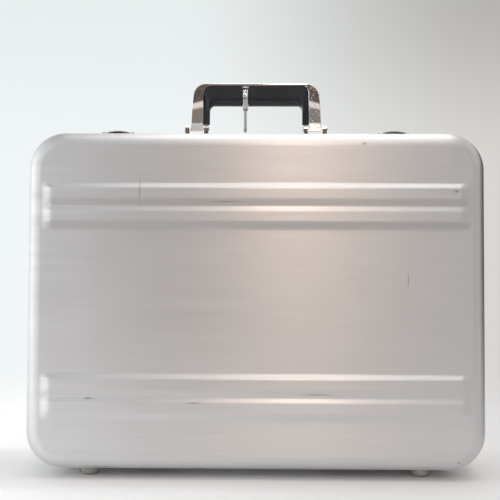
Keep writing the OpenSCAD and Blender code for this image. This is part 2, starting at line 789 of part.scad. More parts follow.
module hasp(side) {
  color("gray") latch(side, -hasp_v) difference() {
    union() {
      difference() {
        translate([0, -dome_back, hasp_h]) dome(dome_r, hasp_v + hasp_reach + dome_back, hasp_w);
        translate([0, -past, hasp_h]) dome(dome_r - hasp_t, hasp_v + hasp_reach + 2 * past, hasp_w + 1);
        translate([-hasp_w, -past, -2 * past])
          cube([2 * hasp_w, hasp_v + hasp_reach + 2 * past, 2 * past + hasp_axis_h + dome_clear]);
      }
      both() translate([hasp_w / 2 - lug_t, 0, 0]) rotate([90, 0, 90]) linear_extrude(lug_t) {
        translate([0, hasp_axis_h]) circle(r = lug_r);
        translate([-lug_r, hasp_axis_h]) square([2 * lug_r, hasp_h - hasp_rise - hasp_axis_h + 0.2]);
      }
      translate([-hook_w / 2, hasp_v + hook_v, low_h - 1.6])
        cube([hook_w, hook_t, hasp_h - hasp_t - low_h + 1.8]);
      translate([0, hasp_v + hasp_reach - hook_t, hasp_h]) intersection() {
        dome(dome_r, hook_t, hasp_w);
        translate([-hasp_w, 0, -3]) cube([2 * hasp_w, 2, 4]);
      }
    }
    translate([0, 0, hasp_axis_h]) rod(hasp_pin_r + run, -latch_w, latch_w);
  }
}
module hasp_pin(side) {
  color("lightgray") latch(side, -hasp_v) translate([0, 0, hasp_axis_h])
    rod(hasp_pin_r, -latch_w / 2 - 0.3, latch_w / 2 + 0.3);
}
slider_x = -8;
slider_v = lock_v + lock_l - 8;
key_x = 9;
// The slider's thumb piece, and the wider slide under it that keeps it in the lock body
slider_w = 6;
slider_l = 5;
slider_rib = 1.2;
slide_w = 8;
slide_l = 7.2;
slide_t = 1.2;
slide_low = 1;
module lock_body(side) {
  color("silver") difference() {
    latch(side, lock_v) {
      translate([-latch_w / 2, 0, 0]) cube([latch_w, lock_l, low_h]);
      translate([-latch_w / 2, block_v - lock_v, 0]) cube([latch_w, lock_l + lock_v - block_v, lock_h]);
      translate([-latch_w / 2, rail_h - lock_v + slack, -rail_lip])
        cube([latch_w, skirt - rail_h - slack, rail_lip + eps]);
    }
    latch(side, 0) {
      translate([-hook_w / 2 - 1, hook_v - 1, 0.3]) cube([hook_w + 2, hook_t + 2, lock_h]);
      translate([slider_x - slider_w / 2 - fit, slider_v - slider_l / 2 - fit, slide_low + slide_t / 2])
        cube([slider_travel + slider_w + 2 * fit, slider_l + 2 * fit, lock_h]);
      translate([slider_x - slide_w / 2 - slack, slider_v - slide_l / 2 - slack, slide_low - 0.1])
        cube([slider_travel + slide_w + 2 * slack, slide_l + 2 * slack, slide_t + 0.3]);
      translate([key_x, slider_v, slide_low]) cylinder(r = key_r + run, h = lock_h);
    }
    base_holes();
  }
}
module lock_slider(side) {
  color("gray") latch(side, 0) {
    translate([slider_x - slide_w / 2, slider_v - slide_l / 2, slide_low]) cube([slide_w, slide_l, slide_t]);
    translate([slider_x - slider_w / 2, slider_v - slider_l / 2, slide_low + slide_t / 2])
      cube([slider_w, slider_l, lock_h - slide_low - slide_t / 2]);
    for (x = [-slider_w / 2, slider_w / 2 - slider_rib])
      translate([slider_x + x, slider_v - 1, lock_h - eps]) cube([slider_rib, 2, 0.8]);
  }
}
module key_cylinder(side) {
  color("goldenrod") latch(side, 0) difference() {
    translate([key_x, slider_v, slide_low + fit]) cylinder(r = key_r, h = lock_h - slide_low - fit + 0.3);
    translate([key_x - 0.4, slider_v - 1.8, lock_h - 1.5]) cube([0.8, 3.6, 3]);
  }
}
module hasp_bracket_left() { hasp_bracket(-1); }
module hasp_bracket_right() { hasp_bracket(1); }
module hasp_left() { hasp(-1); }
module hasp_right() { hasp(1); }
module hasp_pin_left() { hasp_pin(-1); }
module hasp_pin_right() { hasp_pin(1); }
module lock_body_left() { lock_body(-1); }
module lock_body_right() { lock_body(1); }
module lock_slider_left() { lock_slider(-1); }
module lock_slider_right() { lock_slider(1); }
module key_cylinder_left() { key_cylinder(-1); }
module key_cylinder_right() { key_cylinder(1); }
module top_rivet(h) {
  translate([0, 0, top_z + h]) cylinder(r = rivet_head_r, h = rivet_head_t);
  translate([0, 0, top_z - shank]) cylinder(r = rivet_r, h = shank + h + rivet_head_t / 2);
}
module latch_rivets_lid() {
  color("lightgray") latch_rivet_axis(-hasp_rivet_v, hasp_rivet_x) top_rivet(hasp_plate_t);
}
module latch_rivets_base() {
  color("lightgray") {
    latch_rivet_axis(lock_rear_v, lock_rivet_x) top_rivet(lock_h);
    latch_rivet_axis(lock_front_v, hasp_rivet_x) top_rivet(low_h);
  }
}

lid_shell();
lid_frame();
lid_lining();
feet_lid();
foot_screws_lid();
hinge_leaves_lid();
hinge_rivets_lid();
base_shell();
base_frame();
gasket();
base_lining();
feet_base();
foot_screws_base();
hinge_leaves_base();
hinge_rivets_base();
hinge_pin_left();
hinge_pin_right();
stay_bracket_base_left();
stay_bracket_base_right();
stay_bracket_lid_left();
stay_bracket_lid_right();
stay_lower_left();
stay_lower_right();
stay_upper_left();
stay_upper_right();
handle_frame();
handle_grip();
handle_bracket_left();
handle_bracket_right();
handle_pins();
handle_screws();
tag_strap();
tag_plate();
tag_covers();
tag_rivets();
hasp_bracket_left();
hasp_bracket_right();
hasp_left();
hasp_right();
hasp_pin_left();
hasp_pin_right();
lock_body_left();
lock_body_right();
lock_slider_left();
lock_slider_right();
key_cylinder_left();
key_cylinder_right();
latch_rivets_lid();
latch_rivets_base();
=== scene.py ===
import json
import math

import bmesh
import bpy
import numpy as np
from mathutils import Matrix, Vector

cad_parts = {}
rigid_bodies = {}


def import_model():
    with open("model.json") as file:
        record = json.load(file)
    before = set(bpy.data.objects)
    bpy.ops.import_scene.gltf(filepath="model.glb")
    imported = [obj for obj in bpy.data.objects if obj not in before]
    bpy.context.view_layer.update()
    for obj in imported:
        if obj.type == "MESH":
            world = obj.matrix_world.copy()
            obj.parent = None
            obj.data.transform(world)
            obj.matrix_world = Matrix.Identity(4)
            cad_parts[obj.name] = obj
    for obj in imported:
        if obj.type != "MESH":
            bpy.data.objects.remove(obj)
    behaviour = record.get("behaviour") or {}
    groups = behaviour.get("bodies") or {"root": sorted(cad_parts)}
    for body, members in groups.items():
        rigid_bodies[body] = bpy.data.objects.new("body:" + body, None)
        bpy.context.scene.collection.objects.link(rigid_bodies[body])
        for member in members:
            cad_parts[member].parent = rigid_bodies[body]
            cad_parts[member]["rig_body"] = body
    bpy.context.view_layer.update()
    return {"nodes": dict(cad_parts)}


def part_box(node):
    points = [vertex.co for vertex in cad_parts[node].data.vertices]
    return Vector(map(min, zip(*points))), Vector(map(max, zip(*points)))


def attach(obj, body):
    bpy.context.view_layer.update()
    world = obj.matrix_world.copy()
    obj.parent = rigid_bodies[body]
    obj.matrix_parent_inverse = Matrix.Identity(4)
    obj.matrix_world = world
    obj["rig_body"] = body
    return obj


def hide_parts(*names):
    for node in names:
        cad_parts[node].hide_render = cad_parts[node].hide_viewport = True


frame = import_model()

# Sizes, in metres: read from the frame, shared with the part's source, or fitted to the photo
MM = 0.001
SHELL_LOW, SHELL_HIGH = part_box("lid_shell")
RAIL_LOW, RAIL_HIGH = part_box("lid_frame")
HALF_X = SHELL_HIGH.x
HALF_Z = (SHELL_HIGH.z - SHELL_LOW.z) / 2
MID_Z = (SHELL_HIGH.z + SHELL_LOW.z) / 2
CORNER_R = 38 * MM
SHEET = 1.4 * MM
SKIRT = 14 * MM
DRAFT = math.radians(2.5)
FILLET = 14 * MM
RAIL_H = 9 * MM
RAIL_LIP = RAIL_HIGH.x - HALF_X
RAIL_WALL = 1.5 * MM
FIT = 0.05 * MM
GROOVE_IN = SHEET + FIT + RAIL_WALL
GROOVE_W = 2.8 * MM
GROOVE_D = 4.5 * MM
RAIL_IN = GROOVE_IN + GROOVE_W + RAIL_WALL
TONGUE_W = 1.6 * MM
TONGUE_L = 2.5 * MM
TONGUE_IN = GROOVE_IN + 0.4 * MM
GASKET_H = 1.2 * MM
RIB_H = 3 * MM
RIB_CENTRE = 94 * MM
RIB_PITCH = 23 * MM
RIB_FLAT = 10.5 * MM
RIB_UPPER = 4.7 * MM
RIB_LOWER = 7.3 * MM
RIB_VALLEY = 1.4 * MM
RIB_END_GAP = 2.3 * MM
RIB_END_SLOPE = 8 * MM
RIB_SOFTNESS = 0.2
RIB_ZS = [pair * RIB_CENTRE + half * RIB_PITCH for pair in (-1, 1) for half in (-0.5, 0.5)]
LID_RIM = RAIL_LOW.y + RAIL_H
BASE_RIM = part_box("base_frame")[1].y - RAIL_H
LID_DEPTH = LID_RIM - SHELL_LOW.y - RIB_H
BASE_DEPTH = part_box("base_shell")[1].y - BASE_RIM - RIB_H
CORNER_STEPS = 20
SHARP_ANGLE = math.radians(35)


# Node trees
class Graph:
    """A node tree with short calls that add nodes and link them."""

    def __init__(self, tree):
        self.tree = tree

    def node(self, kind, settings=None, **inputs):
        made = self.tree.nodes.new("ShaderNode" + kind)
        for name, value in (settings or {}).items():
            setattr(made, name, value)
        for name, value in inputs.items():
            self.set(made, name.replace("_", " "), value)
        return made

    def set(self, node, name, value):
        socket = node.inputs[int(name)] if name.isdigit() else node.inputs[name]
        if isinstance(value, bpy.types.NodeSocket):
            self.tree.links.new(value, socket)
        else:
            socket.default_value = value

    def math(self, operation, a, b=0.0, c=0.0):
        made = self.node("Math", {"operation": operation})
        for number, value in enumerate((a, b, c)):
            self.set(made, str(number), value)
        return made.outputs[0]

    def spread(self, value, low, high, to_low=0.0, to_high=1.0):
        """Maps value from low..high to to_low..to_high, with soft ends."""
        made = self.node("MapRange", {"interpolation_type": "SMOOTHSTEP"}, Value=value, From_Min=low,
                         From_Max=high, To_Min=to_low, To_Max=to_high)
        return made.outputs[0]

    def mix(self, factor, a, b):
        """The colour a where factor is 0, b where it is 1"""
        made = self.node("Mix", {"data_type": "RGBA", "blend_type": "MIX"})
        self.set(made, "0", factor)
        self.set(made, "6", a)
        self.set(made, "7", b)
        return made.outputs[2]

    def scaled(self, vector, x, y, z):
        return self.node("Mapping", Vector=vector, Scale=(x, y, z)).outputs[0]

    def noise(self, vector, scale, detail=3.0, roughness=0.55):
        made = self.node("TexNoise", Vector=vector, Scale=scale, Detail=detail, Roughness=roughness)
        return made.outputs["Fac"]

    def bump(self, height, distance, strength=1.0, normal=None):
        made = self.node("Bump", Height=height, Distance=distance, Strength=strength)
        if normal is not None:
            self.set(made, "Normal", normal)
        return made.outputs[0]

    def axes(self, vector):
        return self.node("SeparateXYZ", Vector=vector).outputs


def material(name, color, metallic=0.0, roughness=0.5, **constants):
    """A material, its graph and its shader. Constants go on the shader's own sockets."""
    made = bpy.data.materials.new(name)
    made.use_nodes = True
    graph = Graph(made.node_tree)
    shader = made.node_tree.nodes["Principled BSDF"]
    graph.set(shader, "Base Color", (*color, 1))
    graph.set(shader, "Metallic", metallic)
    graph.set(shader, "Roughness", roughness)
    for socket, value in constants.items():
        graph.set(shader, socket.replace("_", " "), value)
    return made, graph, shader


def place(graph):
    """A piece's own coordinates, in metres"""
    return graph.node("TexCoord").outputs["Object"]


# Small marks of the sheet, in mm from the face's middle: x, z, width, height
MARKS = [(107.4, 152.3, 2.0, 1.2), (194.4, 107.5, 1.7, 1.3), (-114.4, 108.4, 0.5, 9.0),
         (-163.7, -96.5, 3.5, 0.9), (-60.1, -100.5, 6.0, 0.6), (198.2, -155.4, 1.1, 1.1),
         (-152, -163.5, 14.0, 0.8), (60, -92, 12, 0.5), (-30, 97, 16, 0.4), (150, 20, 0.5, 6.0)]


def marks(graph, flat):
    """1 at a small mark of the sheet and 0 elsewhere"""
    x, z, _ = graph.axes(flat)
    total = 0.0
    for mark_x, mark_z, width, height in MARKS:
        dx = graph.math("MULTIPLY", graph.math("SUBTRACT", x, mark_x * MM), 1 / (width * MM))
        dz = graph.math("MULTIPLY", graph.math("SUBTRACT", z, mark_z * MM), 1 / (height * MM))
        square = graph.math("MULTIPLY_ADD", dx, dx, graph.math("MULTIPLY", dz, dz))
        total = graph.math("ADD", total, graph.math("EXPONENT", graph.math("MULTIPLY", square, -1.0)))
    return graph.math("MINIMUM", total, 1.0)


def brushed_sheet():
    """Anodised sheet aluminium, brushed along the case's width"""
    made, graph, shader = material("brushed_aluminium", (0.72, 0.72, 0.725), 1.0, 0.4,
                                   Anisotropic=0.88, Anisotropic_Rotation=0.25)
    flat = graph.node("UVMap", {"uv_map": "flat"}).outputs[0]
    lines = graph.noise(graph.scaled(flat, 14, 1500, 1), 1.0, 4.0, 0.6)
    broad = graph.noise(graph.scaled(flat, 3, 90, 1), 1.0, 3.0)
    patches = graph.noise(flat, 6.0, 3.0)
    scratches = graph.spread(graph.noise(graph.scaled(flat, 900, 22, 1), 1.0, 1.0), 0.76, 0.82)
    spots = marks(graph, flat)
    tone = graph.mix(graph.spread(lines, 0.3, 0.7), (0.69, 0.69, 0.695, 1), (0.755, 0.755, 0.76, 1))
    tone = graph.mix(graph.spread(patches, 0.35, 0.65, 0, 0.35), tone, (0.67, 0.675, 0.69, 1))
    tone = graph.mix(graph.math("MULTIPLY", spots, 0.7), tone, (0.2, 0.19, 0.18, 1))
    graph.set(shader, "Base Color", tone)
    rough = graph.spread(broad, 0.3, 0.7, 0.36, 0.43)
    rough = graph.math("MULTIPLY_ADD", scratches, -0.1, rough)
    graph.set(shader, "Roughness", rough)
    fine = graph.bump(lines, 0.02 * MM, 0.35)
    graph.set(shader, "Normal", graph.bump(graph.math("SUBTRACT", 1.0, spots), 0.1 * MM, 0.5, fine))
    along = graph.node("Tangent", {"direction_type": "UV_MAP", "uv_map": "flat"}).outputs[0]
    graph.set(shader, "Tangent", along)
    return made


def bright_rail():
    """Bright anodised extrusion with die lines along it and small knocks"""
    made, graph, shader = material("anodised_rail", (0.8, 0.8, 0.81), 1.0, 0.24)
    flat = graph.node("UVMap", {"uv_map": "flat"}).outputs[0]
    lines = graph.noise(graph.scaled(flat, 2, 1800, 1), 1.0, 3.0)
    knocks = graph.spread(graph.noise(graph.scaled(flat, 120, 260, 1), 1.0, 2.0), 0.7, 0.78)
    tone = graph.mix(graph.spread(lines, 0.3, 0.7), (0.76, 0.76, 0.77, 1), (0.84, 0.84, 0.85, 1))
    graph.set(shader, "Base Color", graph.mix(knocks, tone, (0.6, 0.6, 0.61, 1)))
    rough = graph.spread(lines, 0.3, 0.7, 0.2, 0.28)
    graph.set(shader, "Roughness", graph.math("MULTIPLY_ADD", knocks, 0.2, rough))
    graph.set(shader, "Normal", graph.bump(lines, 0.015 * MM, 0.3))
    return made


def worn_metal(name, color, roughness, grain, wear=0.12):
    """Plated or turned metal with a fine grain, smears and edge wear"""
    made, graph, shader = material(name, color, 1.0, roughness)
    here = place(graph)
    fine = graph.noise(here, grain, 3.0)
    smears = graph.noise(here, 90.0, 4.0, 0.65)
    pointed = graph.spread(graph.node("NewGeometry").outputs["Pointiness"], 0.52, 0.6)
    dark = tuple(0.82 * part for part in color) + (1,)
    light = tuple(min(1.0, 1.08 * part) for part in color) + (1,)
    tone = graph.mix(graph.spread(smears, 0.35, 0.65), dark, (*color, 1))
    graph.set(shader, "Base Color", graph.mix(graph.math("MULTIPLY", pointed, 0.6), tone, light))
    rough = graph.spread(smears, 0.3, 0.7, roughness, roughness + wear)
    graph.set(shader, "Roughness", graph.math("MULTIPLY_ADD", fine, 0.04, rough))
    graph.set(shader, "Normal", graph.bump(fine, 0.01 * MM, 0.25))
    return made


def polished_chrome():
    """Bright nickel-chrome plate, slightly wavy, with pits and light scratches"""
    made, graph, shader = material("polished_chrome", (0.78, 0.765, 0.75), 1.0, 0.06)
    here = place(graph)
    wavy = graph.noise(here, 110.0, 2.0)
    pits = graph.spread(graph.noise(here, 1500.0, 2.0), 0.68, 0.74)
    streaks = graph.spread(graph.noise(graph.scaled(here, 2500, 900, 60), 1.0, 2.0), 0.6, 0.72)
    tone = graph.mix(pits, (0.78, 0.765, 0.75, 1), (0.42, 0.38, 0.35, 1))
    graph.set(shader, "Base Color", tone)
    rough = graph.math("MULTIPLY_ADD", streaks, 0.1, 0.05)
    specks = graph.spread(graph.noise(here, 520.0, 3.0, 0.7), 0.57, 0.64)
    specks = graph.math("MULTIPLY", specks, graph.spread(graph.axes(here)[0], 0.02, 0.06, 0.15, 1.0))
    rough = graph.math("MULTIPLY_ADD", specks, 0.4, rough)
    graph.set(shader, "Roughness", graph.math("MULTIPLY_ADD", pits, 0.25, rough))
    waved = graph.bump(wavy, 0.05 * MM, 0.25)
    graph.set(shader, "Normal", graph.bump(graph.math("SUBTRACT", 1.0, pits), 0.03 * MM, 0.4, waved))
    return made


def black_grip():
    """Moulded black plastic with a fine leather-like grain and polished high spots"""
    made, graph, shader = material("black_grip", (0.014, 0.016, 0.02), 0.0, 0.36,
                                   Specular_IOR_Level=0.32)
    here = place(graph)
    cells = graph.node("TexVoronoi", {"feature": "SMOOTH_F1"}, Vector=here, Scale=900.0)
    grain = cells.outputs["Distance"]
    rubbed = graph.noise(here, 55.0, 3.0)
    tone = graph.mix(graph.spread(rubbed, 0.35, 0.65), (0.01, 0.012, 0.015, 1), (0.02, 0.023, 0.029, 1))
    graph.set(shader, "Base Color", tone)
    graph.set(shader, "Roughness", graph.spread(rubbed, 0.3, 0.7, 0.42, 0.3))
    graph.set(shader, "Normal", graph.bump(grain, 0.05 * MM, 0.3))
    return made


def foot_rubber():
    """Grey moulded rubber, scuffed, with painted shade that darkens and browns it towards the sole"""
    made, graph, shader = material("foot_rubber", (0.36, 0.355, 0.33), 0.0, 0.4)
    here = place(graph)
    grain = graph.noise(here, 1400.0, 3.0)
    scuffs = graph.noise(graph.scaled(here, 260, 900, 260), 1.0, 3.0)
    height = graph.axes(here)[2]
    # Painted shade: within 3 mm of the sole the rubber is turned darker and browner in patches
    near_sole = graph.spread(height, 0.0, 3 * MM, 0.7, 0.0)
    painted_sole_shade = graph.math("MULTIPLY", near_sole, graph.spread(scuffs, 0.4, 0.6))
    tone = graph.mix(graph.spread(grain, 0.3, 0.7), (0.32, 0.315, 0.29, 1), (0.42, 0.415, 0.385, 1))
    graph.set(shader, "Base Color", graph.mix(painted_sole_shade, tone, (0.24, 0.21, 0.18, 1)))
    graph.set(shader, "Roughness", graph.spread(scuffs, 0.3, 0.7, 0.34, 0.5))
    graph.set(shader, "Normal", graph.bump(grain, 0.04 * MM, 0.5))
    return made


def gasket_rubber():
    """Black extruded sealing rubber with lines along it and bloom"""
    made, graph, shader = material("gasket_rubber", (0.035, 0.035, 0.036), 0.0, 0.6)
    here = place(graph)
    bloom = graph.noise(here, 60.0, 4.0)
    grain = graph.noise(here, 1800.0, 2.0)
    tone = graph.mix(graph.spread(bloom, 0.4, 0.7), (0.028, 0.028, 0.029, 1), (0.06, 0.06, 0.062, 1))
    graph.set(shader, "Base Color", tone)
    graph.set(shader, "Roughness", graph.spread(bloom, 0.3, 0.7, 0.52, 0.7))
    graph.set(shader, "Normal", graph.bump(grain, 0.03 * MM, 0.4))
    return made


def lining_cloth():
    """Plain-woven grey lining cloth glued on board"""
    made, graph, shader = material("lining_cloth", (0.15, 0.155, 0.165), 0.0, 0.85, Sheen_Weight=0.25)
    flat = place(graph)
    thread = 2 * math.pi / (1.1 * MM)
    waves = [graph.math("SINE", graph.math("MULTIPLY", axis, thread)) for axis in graph.axes(flat)]
    normal = graph.node("TexCoord").outputs["Normal"]
    facing = [graph.math("MULTIPLY", axis, axis) for axis in graph.axes(normal)]
    weave = 0.0
    for number in range(3):
        crossing = graph.math("MULTIPLY", waves[number - 1], waves[number - 2])
        weave = graph.math("MULTIPLY_ADD", crossing, facing[number], weave)
    slubs = graph.noise(graph.scaled(flat, 900, 60, 1), 1.0, 3.0)
    shade = graph.noise(flat, 9.0, 4.0)
    tone = graph.mix(graph.spread(weave, -1, 1), (0.1, 0.105, 0.112, 1), (0.19, 0.195, 0.205, 1))
    tone = graph.mix(graph.spread(slubs, 0.5, 0.8, 0, 0.4), tone, (0.26, 0.265, 0.27, 1))
    tone = graph.mix(graph.spread(shade, 0.3, 0.7, 0, 0.3), tone, (0.12, 0.12, 0.13, 1))
    graph.set(shader, "Base Color", tone)
    graph.set(shader, "Roughness", graph.spread(slubs, 0.3, 0.7, 0.78, 0.92))
    graph.set(shader, "Normal", graph.bump(weave, 0.12 * MM, 0.5))
    return made


def clear_plastic():
    """Clear plastic sheet, slightly yellowed and scratched"""
    made, graph, shader = material("clear_plastic", (0.93, 0.92, 0.88), 0.0, 0.12,
                                   Transmission_Weight=0.5, IOR=1.49)
    here = place(graph)
    haze = graph.noise(here, 300.0, 3.0)
    scratches = graph.spread(graph.noise(graph.scaled(here, 60, 1600, 200), 1.0, 2.0), 0.62, 0.7)
    tone = graph.mix(graph.spread(haze, 0.35, 0.65), (0.93, 0.92, 0.88, 1), (0.86, 0.85, 0.8, 1))
    graph.set(shader, "Base Color", tone)
    graph.set(shader, "Roughness", graph.math("MULTIPLY_ADD", scratches, 0.3, 0.14))
    graph.set(shader, "Normal", graph.bump(scratches, 0.02 * MM, 0.3))
    return made


# Mesh tools
def finished(name, mesh, finish, body, nodes):
    """Makes an object of a mesh, with its material. It rides on body and stands for the CAD nodes."""
    mesh.shade_smooth()
    mesh.set_sharp_from_angle(angle=SHARP_ANGLE)
    mesh.materials.append(finish)
    made = bpy.data.objects.new(name, mesh)
    bpy.context.scene.collection.objects.link(made)
    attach(made, body)
    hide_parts(*nodes)
    return made


def piece(name, points, faces, finish, body, nodes, flat=None):
    """Makes a piece from points in metres, with its flat pattern where it has one."""
    mesh = bpy.data.meshes.new(name)
    mesh.from_pydata([tuple(point) for point in points], [], faces)
    if flat is not None:
        layer = mesh.uv_layers.new(name="flat")
        corners = np.empty(len(mesh.loops), np.int32)
        mesh.loops.foreach_get("vertex_index", corners)
        layer.data.foreach_set("uv", np.asarray(flat, np.float32)[corners].ravel())
    tidy = bmesh.new()
    tidy.from_mesh(mesh)
    bmesh.ops.recalc_face_normals(tidy, faces=tidy.faces)
    tidy.to_mesh(mesh)
    tidy.free()
    return finished(name, mesh, finish, body, nodes)


def crisp(made):
    """Keeps a piece's flat sides flat in the light, so that only its rounded edges turn."""
    weighted = made.modifiers.new("normals", "WEIGHTED_NORMAL")
    weighted.keep_sharp = True
    return made


def dress(finish, *nodes):
    """Gives CAD nodes a finish."""
    for name in nodes:
        mesh = frame["nodes"][name].data
        mesh.materials.clear()
        mesh.materials.append(finish)


def softened(name, finish, width=0.25 * MM, rounds=2):
    """A copy of a CAD node with its sharp edges rounded, standing for that node"""
    body = frame["nodes"][name]["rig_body"]
    shape = bmesh.new()
    shape.from_mesh(frame["nodes"][name].data)
    bmesh.ops.remove_doubles(shape, verts=shape.verts, dist=0.001 * MM)
    bmesh.ops.dissolve_limit(shape, angle_limit=math.radians(0.5), verts=shape.verts, edges=shape.edges)
    sharp = [edge for edge in shape.edges
             if len(edge.link_faces) == 2 and edge.calc_face_angle() > SHARP_ANGLE]
    bmesh.ops.bevel(shape, geom=sharp, offset=width, segments=rounds, profile=0.5, affect="EDGES",
                    clamp_overlap=True)
    mesh = bpy.data.meshes.new(name + "_finished")
    shape.to_mesh(mesh)
    shape.free()
    return crisp(finished(name + "_finished", mesh, finish, body, [name]))


def plan_path(xs, zs, radius, steps):
    """Points round a rounded rectangle, their outward directions, and their cells in the grid"""
    last_x, last_z = len(xs) - 1, len(zs) - 1
    sides = [[(last_x, iz) for iz in range(last_z + 1)], [(ix, last_z) for ix in range(last_x, -1, -1)],
             [(0, iz) for iz in range(last_z, -1, -1)], [(ix, 0) for ix in range(last_x + 1)]]
    points, outward, cells = [], [], []
    for turn, side in enumerate(sides):
        start = turn * math.pi / 2
        run = [(cell, start) for cell in side]
        run += [(side[-1], start + step * math.pi / 2 / steps) for step in range(1, steps)]
        for cell, angle in run:
            direction = (math.cos(angle), math.sin(angle))
            points.append((xs[cell[0]] + radius * direction[0], zs[cell[1]] + radius * direction[1]))
            outward.append(direction)
            cells.append(cell)
    return np.array(points), np.array(outward), cells


def ring_faces(first, second, closed=True):
    """Faces between two rings of point numbers, without repeated corners"""
    count = len(first) if closed else len(first) - 1
    faces = []
    for here in range(count):
        there = (here + 1) % len(first)
        corners = [first[here], first[there], second[there], second[here]]
        unique = [corner for number, corner in enumerate(corners) if corner not in corners[:number]]
        if len(unique) > 2:
            faces.append(unique)
    return faces


def rounded_outline(points, radius, rounds=3):
    """A closed outline with each corner rounded, as far as its sides allow"""
    made = []
    for number, corner in enumerate(points):
        corner = Vector(corner)
        before = Vector(points[number - 1]) - corner
        after = Vector(points[(number + 1) % len(points)]) - corner
        reach = min(radius, 0.45 * before.length, 0.45 * after.length)
        start, end = corner + reach * before.normalized(), corner + reach * after.normalized()
        for step in range(rounds + 1):
            share = step / rounds
            made.append(start * (1 - share) ** 2 + corner * 2 * share * (1 - share) + end * share ** 2)
    return [(point.x, point.y) for point in made]


def swept_ring(name, section, rim, side, finish, body, nodes):
    """Sweeps a section round the rim: u is outward from the pan's side, v is into the pan."""
    xs = np.linspace(CORNER_R - HALF_X, HALF_X - CORNER_R, 9)
    zs = np.linspace(CORNER_R - HALF_Z, HALF_Z - CORNER_R, 7)
    points, outward, _ = plan_path(xs, zs, CORNER_R, CORNER_STEPS)
    along = np.concatenate([[0], np.cumsum(np.linalg.norm(np.diff(points, axis=0), axis=1))])
    across = 0.0
    verts, flat = [], []
    previous = section[0]
    for u, v in section:
        across += math.dist(previous, (u, v))
        previous = (u, v)
        ring = points + outward * u
        verts += [(x, rim + side * v, MID_Z + z) for x, z in ring]
        flat += [(s, across) for s in along]
    size = len(points)
    faces = []
    for row in range(len(section)):
        first = [row * size + number for number in range(size)]
        second = [(row + 1) % len(section) * size + number for number in range(size)]
        faces += ring_faces(first, second)
    return crisp(piece(name, verts, faces, finish, body, nodes, flat))


# Pans
def soft_ramp(t, softness):
    """1 before t = 0, down to 0 at t = 1, with both ends rounded"""
    def area(t):
        return np.where(t < 0, 0, np.where(t < 1, t * t / 2, t - 0.5))
    return 1 - (area(t + softness) - area(t - softness)) / (2 * softness)


def face_half_x(depth):
    """Half width of a pan's flat face"""
    lean = (depth - SKIRT) * math.tan(DRAFT)
    return HALF_X - lean - FILLET * math.tan(math.pi / 4 - DRAFT / 2)


def rib_height(x, z, depth):
    """Height of the pressed ribs above the face, at points measured from its middle"""
    half = face_half_x(depth) - RIB_END_GAP
    along = soft_ramp((np.abs(x) - half + RIB_END_SLOPE) / RIB_END_SLOPE, RIB_SOFTNESS)
    between = sum(np.abs(z - side * RIB_CENTRE) < RIB_PITCH / 2 for side in (-1, 1))
    valley = RIB_VALLEY * between
    total = 0 * x
    for centre in RIB_ZS:
        above = soft_ramp((z - centre - RIB_FLAT / 2) / RIB_UPPER, RIB_SOFTNESS)
        below = soft_ramp((centre - z - RIB_FLAT / 2) / RIB_LOWER, RIB_SOFTNESS)
        total = total + (RIB_H - valley) * above * below
    return along * (total + valley)


# Shallow dents of the face: place and size in metres, depth in mm
DENTS = [(0.102, 0.140, 0.005, 0.25), (-0.05, -0.05, 0.012, 0.12), (0.13, -0.02, 0.009, 0.1),
         (-0.15, 0.02, 0.007, 0.12)]


def face_wave(x, z):
    """The slight unevenness of a sheet that has been drawn and used"""
    swell = 0.12 * np.sin(9.1 * x + 1.3) * np.sin(12.7 * z + 0.4)
    swell = swell + 0.05 * np.sin(31 * x + 17 * z) + 0.03 * np.sin(58 * z - 23 * x)
    for dent_x, dent_z, size, deep in DENTS:
        swell = swell - deep * np.exp(-((x - dent_x) ** 2 + (z - dent_z) ** 2) / size ** 2)
    edge = np.clip((face_half_x(LID_DEPTH) - np.abs(x)) / 0.03, 0, 1)
    edge = edge * np.clip((HALF_Z - FILLET - np.abs(z)) / 0.03, 0, 1)
    return MM * swell * edge - 0.15 * MM * edge


def pan_profile(depth, inset, rim_v):
    """Points (u, v) from a pan's rim over skirt and fillet, and on to the corners' centres"""
    depth, fillet = depth - inset, FILLET - inset
    lean = (depth - SKIRT) * math.tan(DRAFT)
    reach = fillet * math.tan(math.pi / 4 - DRAFT / 2)
    centre = Vector((-inset - lean - reach, depth - fillet))
    points = [(-inset, rim_v), (-inset, RAIL_H), (-inset, SKIRT)]
    drafted = Vector((-inset - lean + reach * math.sin(DRAFT), depth - reach * math.cos(DRAFT)))
    points += [tuple(Vector(points[2]).lerp(drafted, share)) for share in (0.25, 0.5, 0.75)]
    for angle in np.linspace(DRAFT, math.pi / 2, 15):
        points.append((centre.x + fillet * math.cos(angle), centre.y + fillet * math.sin(angle)))
    last = points[-1][0]
    fine_step, fine_end, coarse_start = 0.8 * MM, last - 13 * MM, last - 14.5 * MM
    for u in np.arange(last - fine_step, fine_end, -fine_step):
        points.append((u, depth))
    for u in np.linspace(coarse_start, -CORNER_R, 4)[:-1]:
        points.append((u, depth))
    return points


def grid_lines(half, breaks=()):
    """Lines across a face, close together at the breaks"""
    lines = list(np.linspace(-half, half, 2 * round(half / (5 * MM)) + 1))
    close = [centre + offset for centre in breaks for offset in np.arange(-1.8, 1.81, 0.6) * MM]
    lines = [line for line in lines if all(abs(line - other) > 0.7 * MM for other in close)]
    kept = []
    for line in sorted(lines + [line for line in close if abs(line) < half]):
        if not kept or line - kept[-1] > 0.25 * MM:
            kept.append(line)
    return np.array(kept)


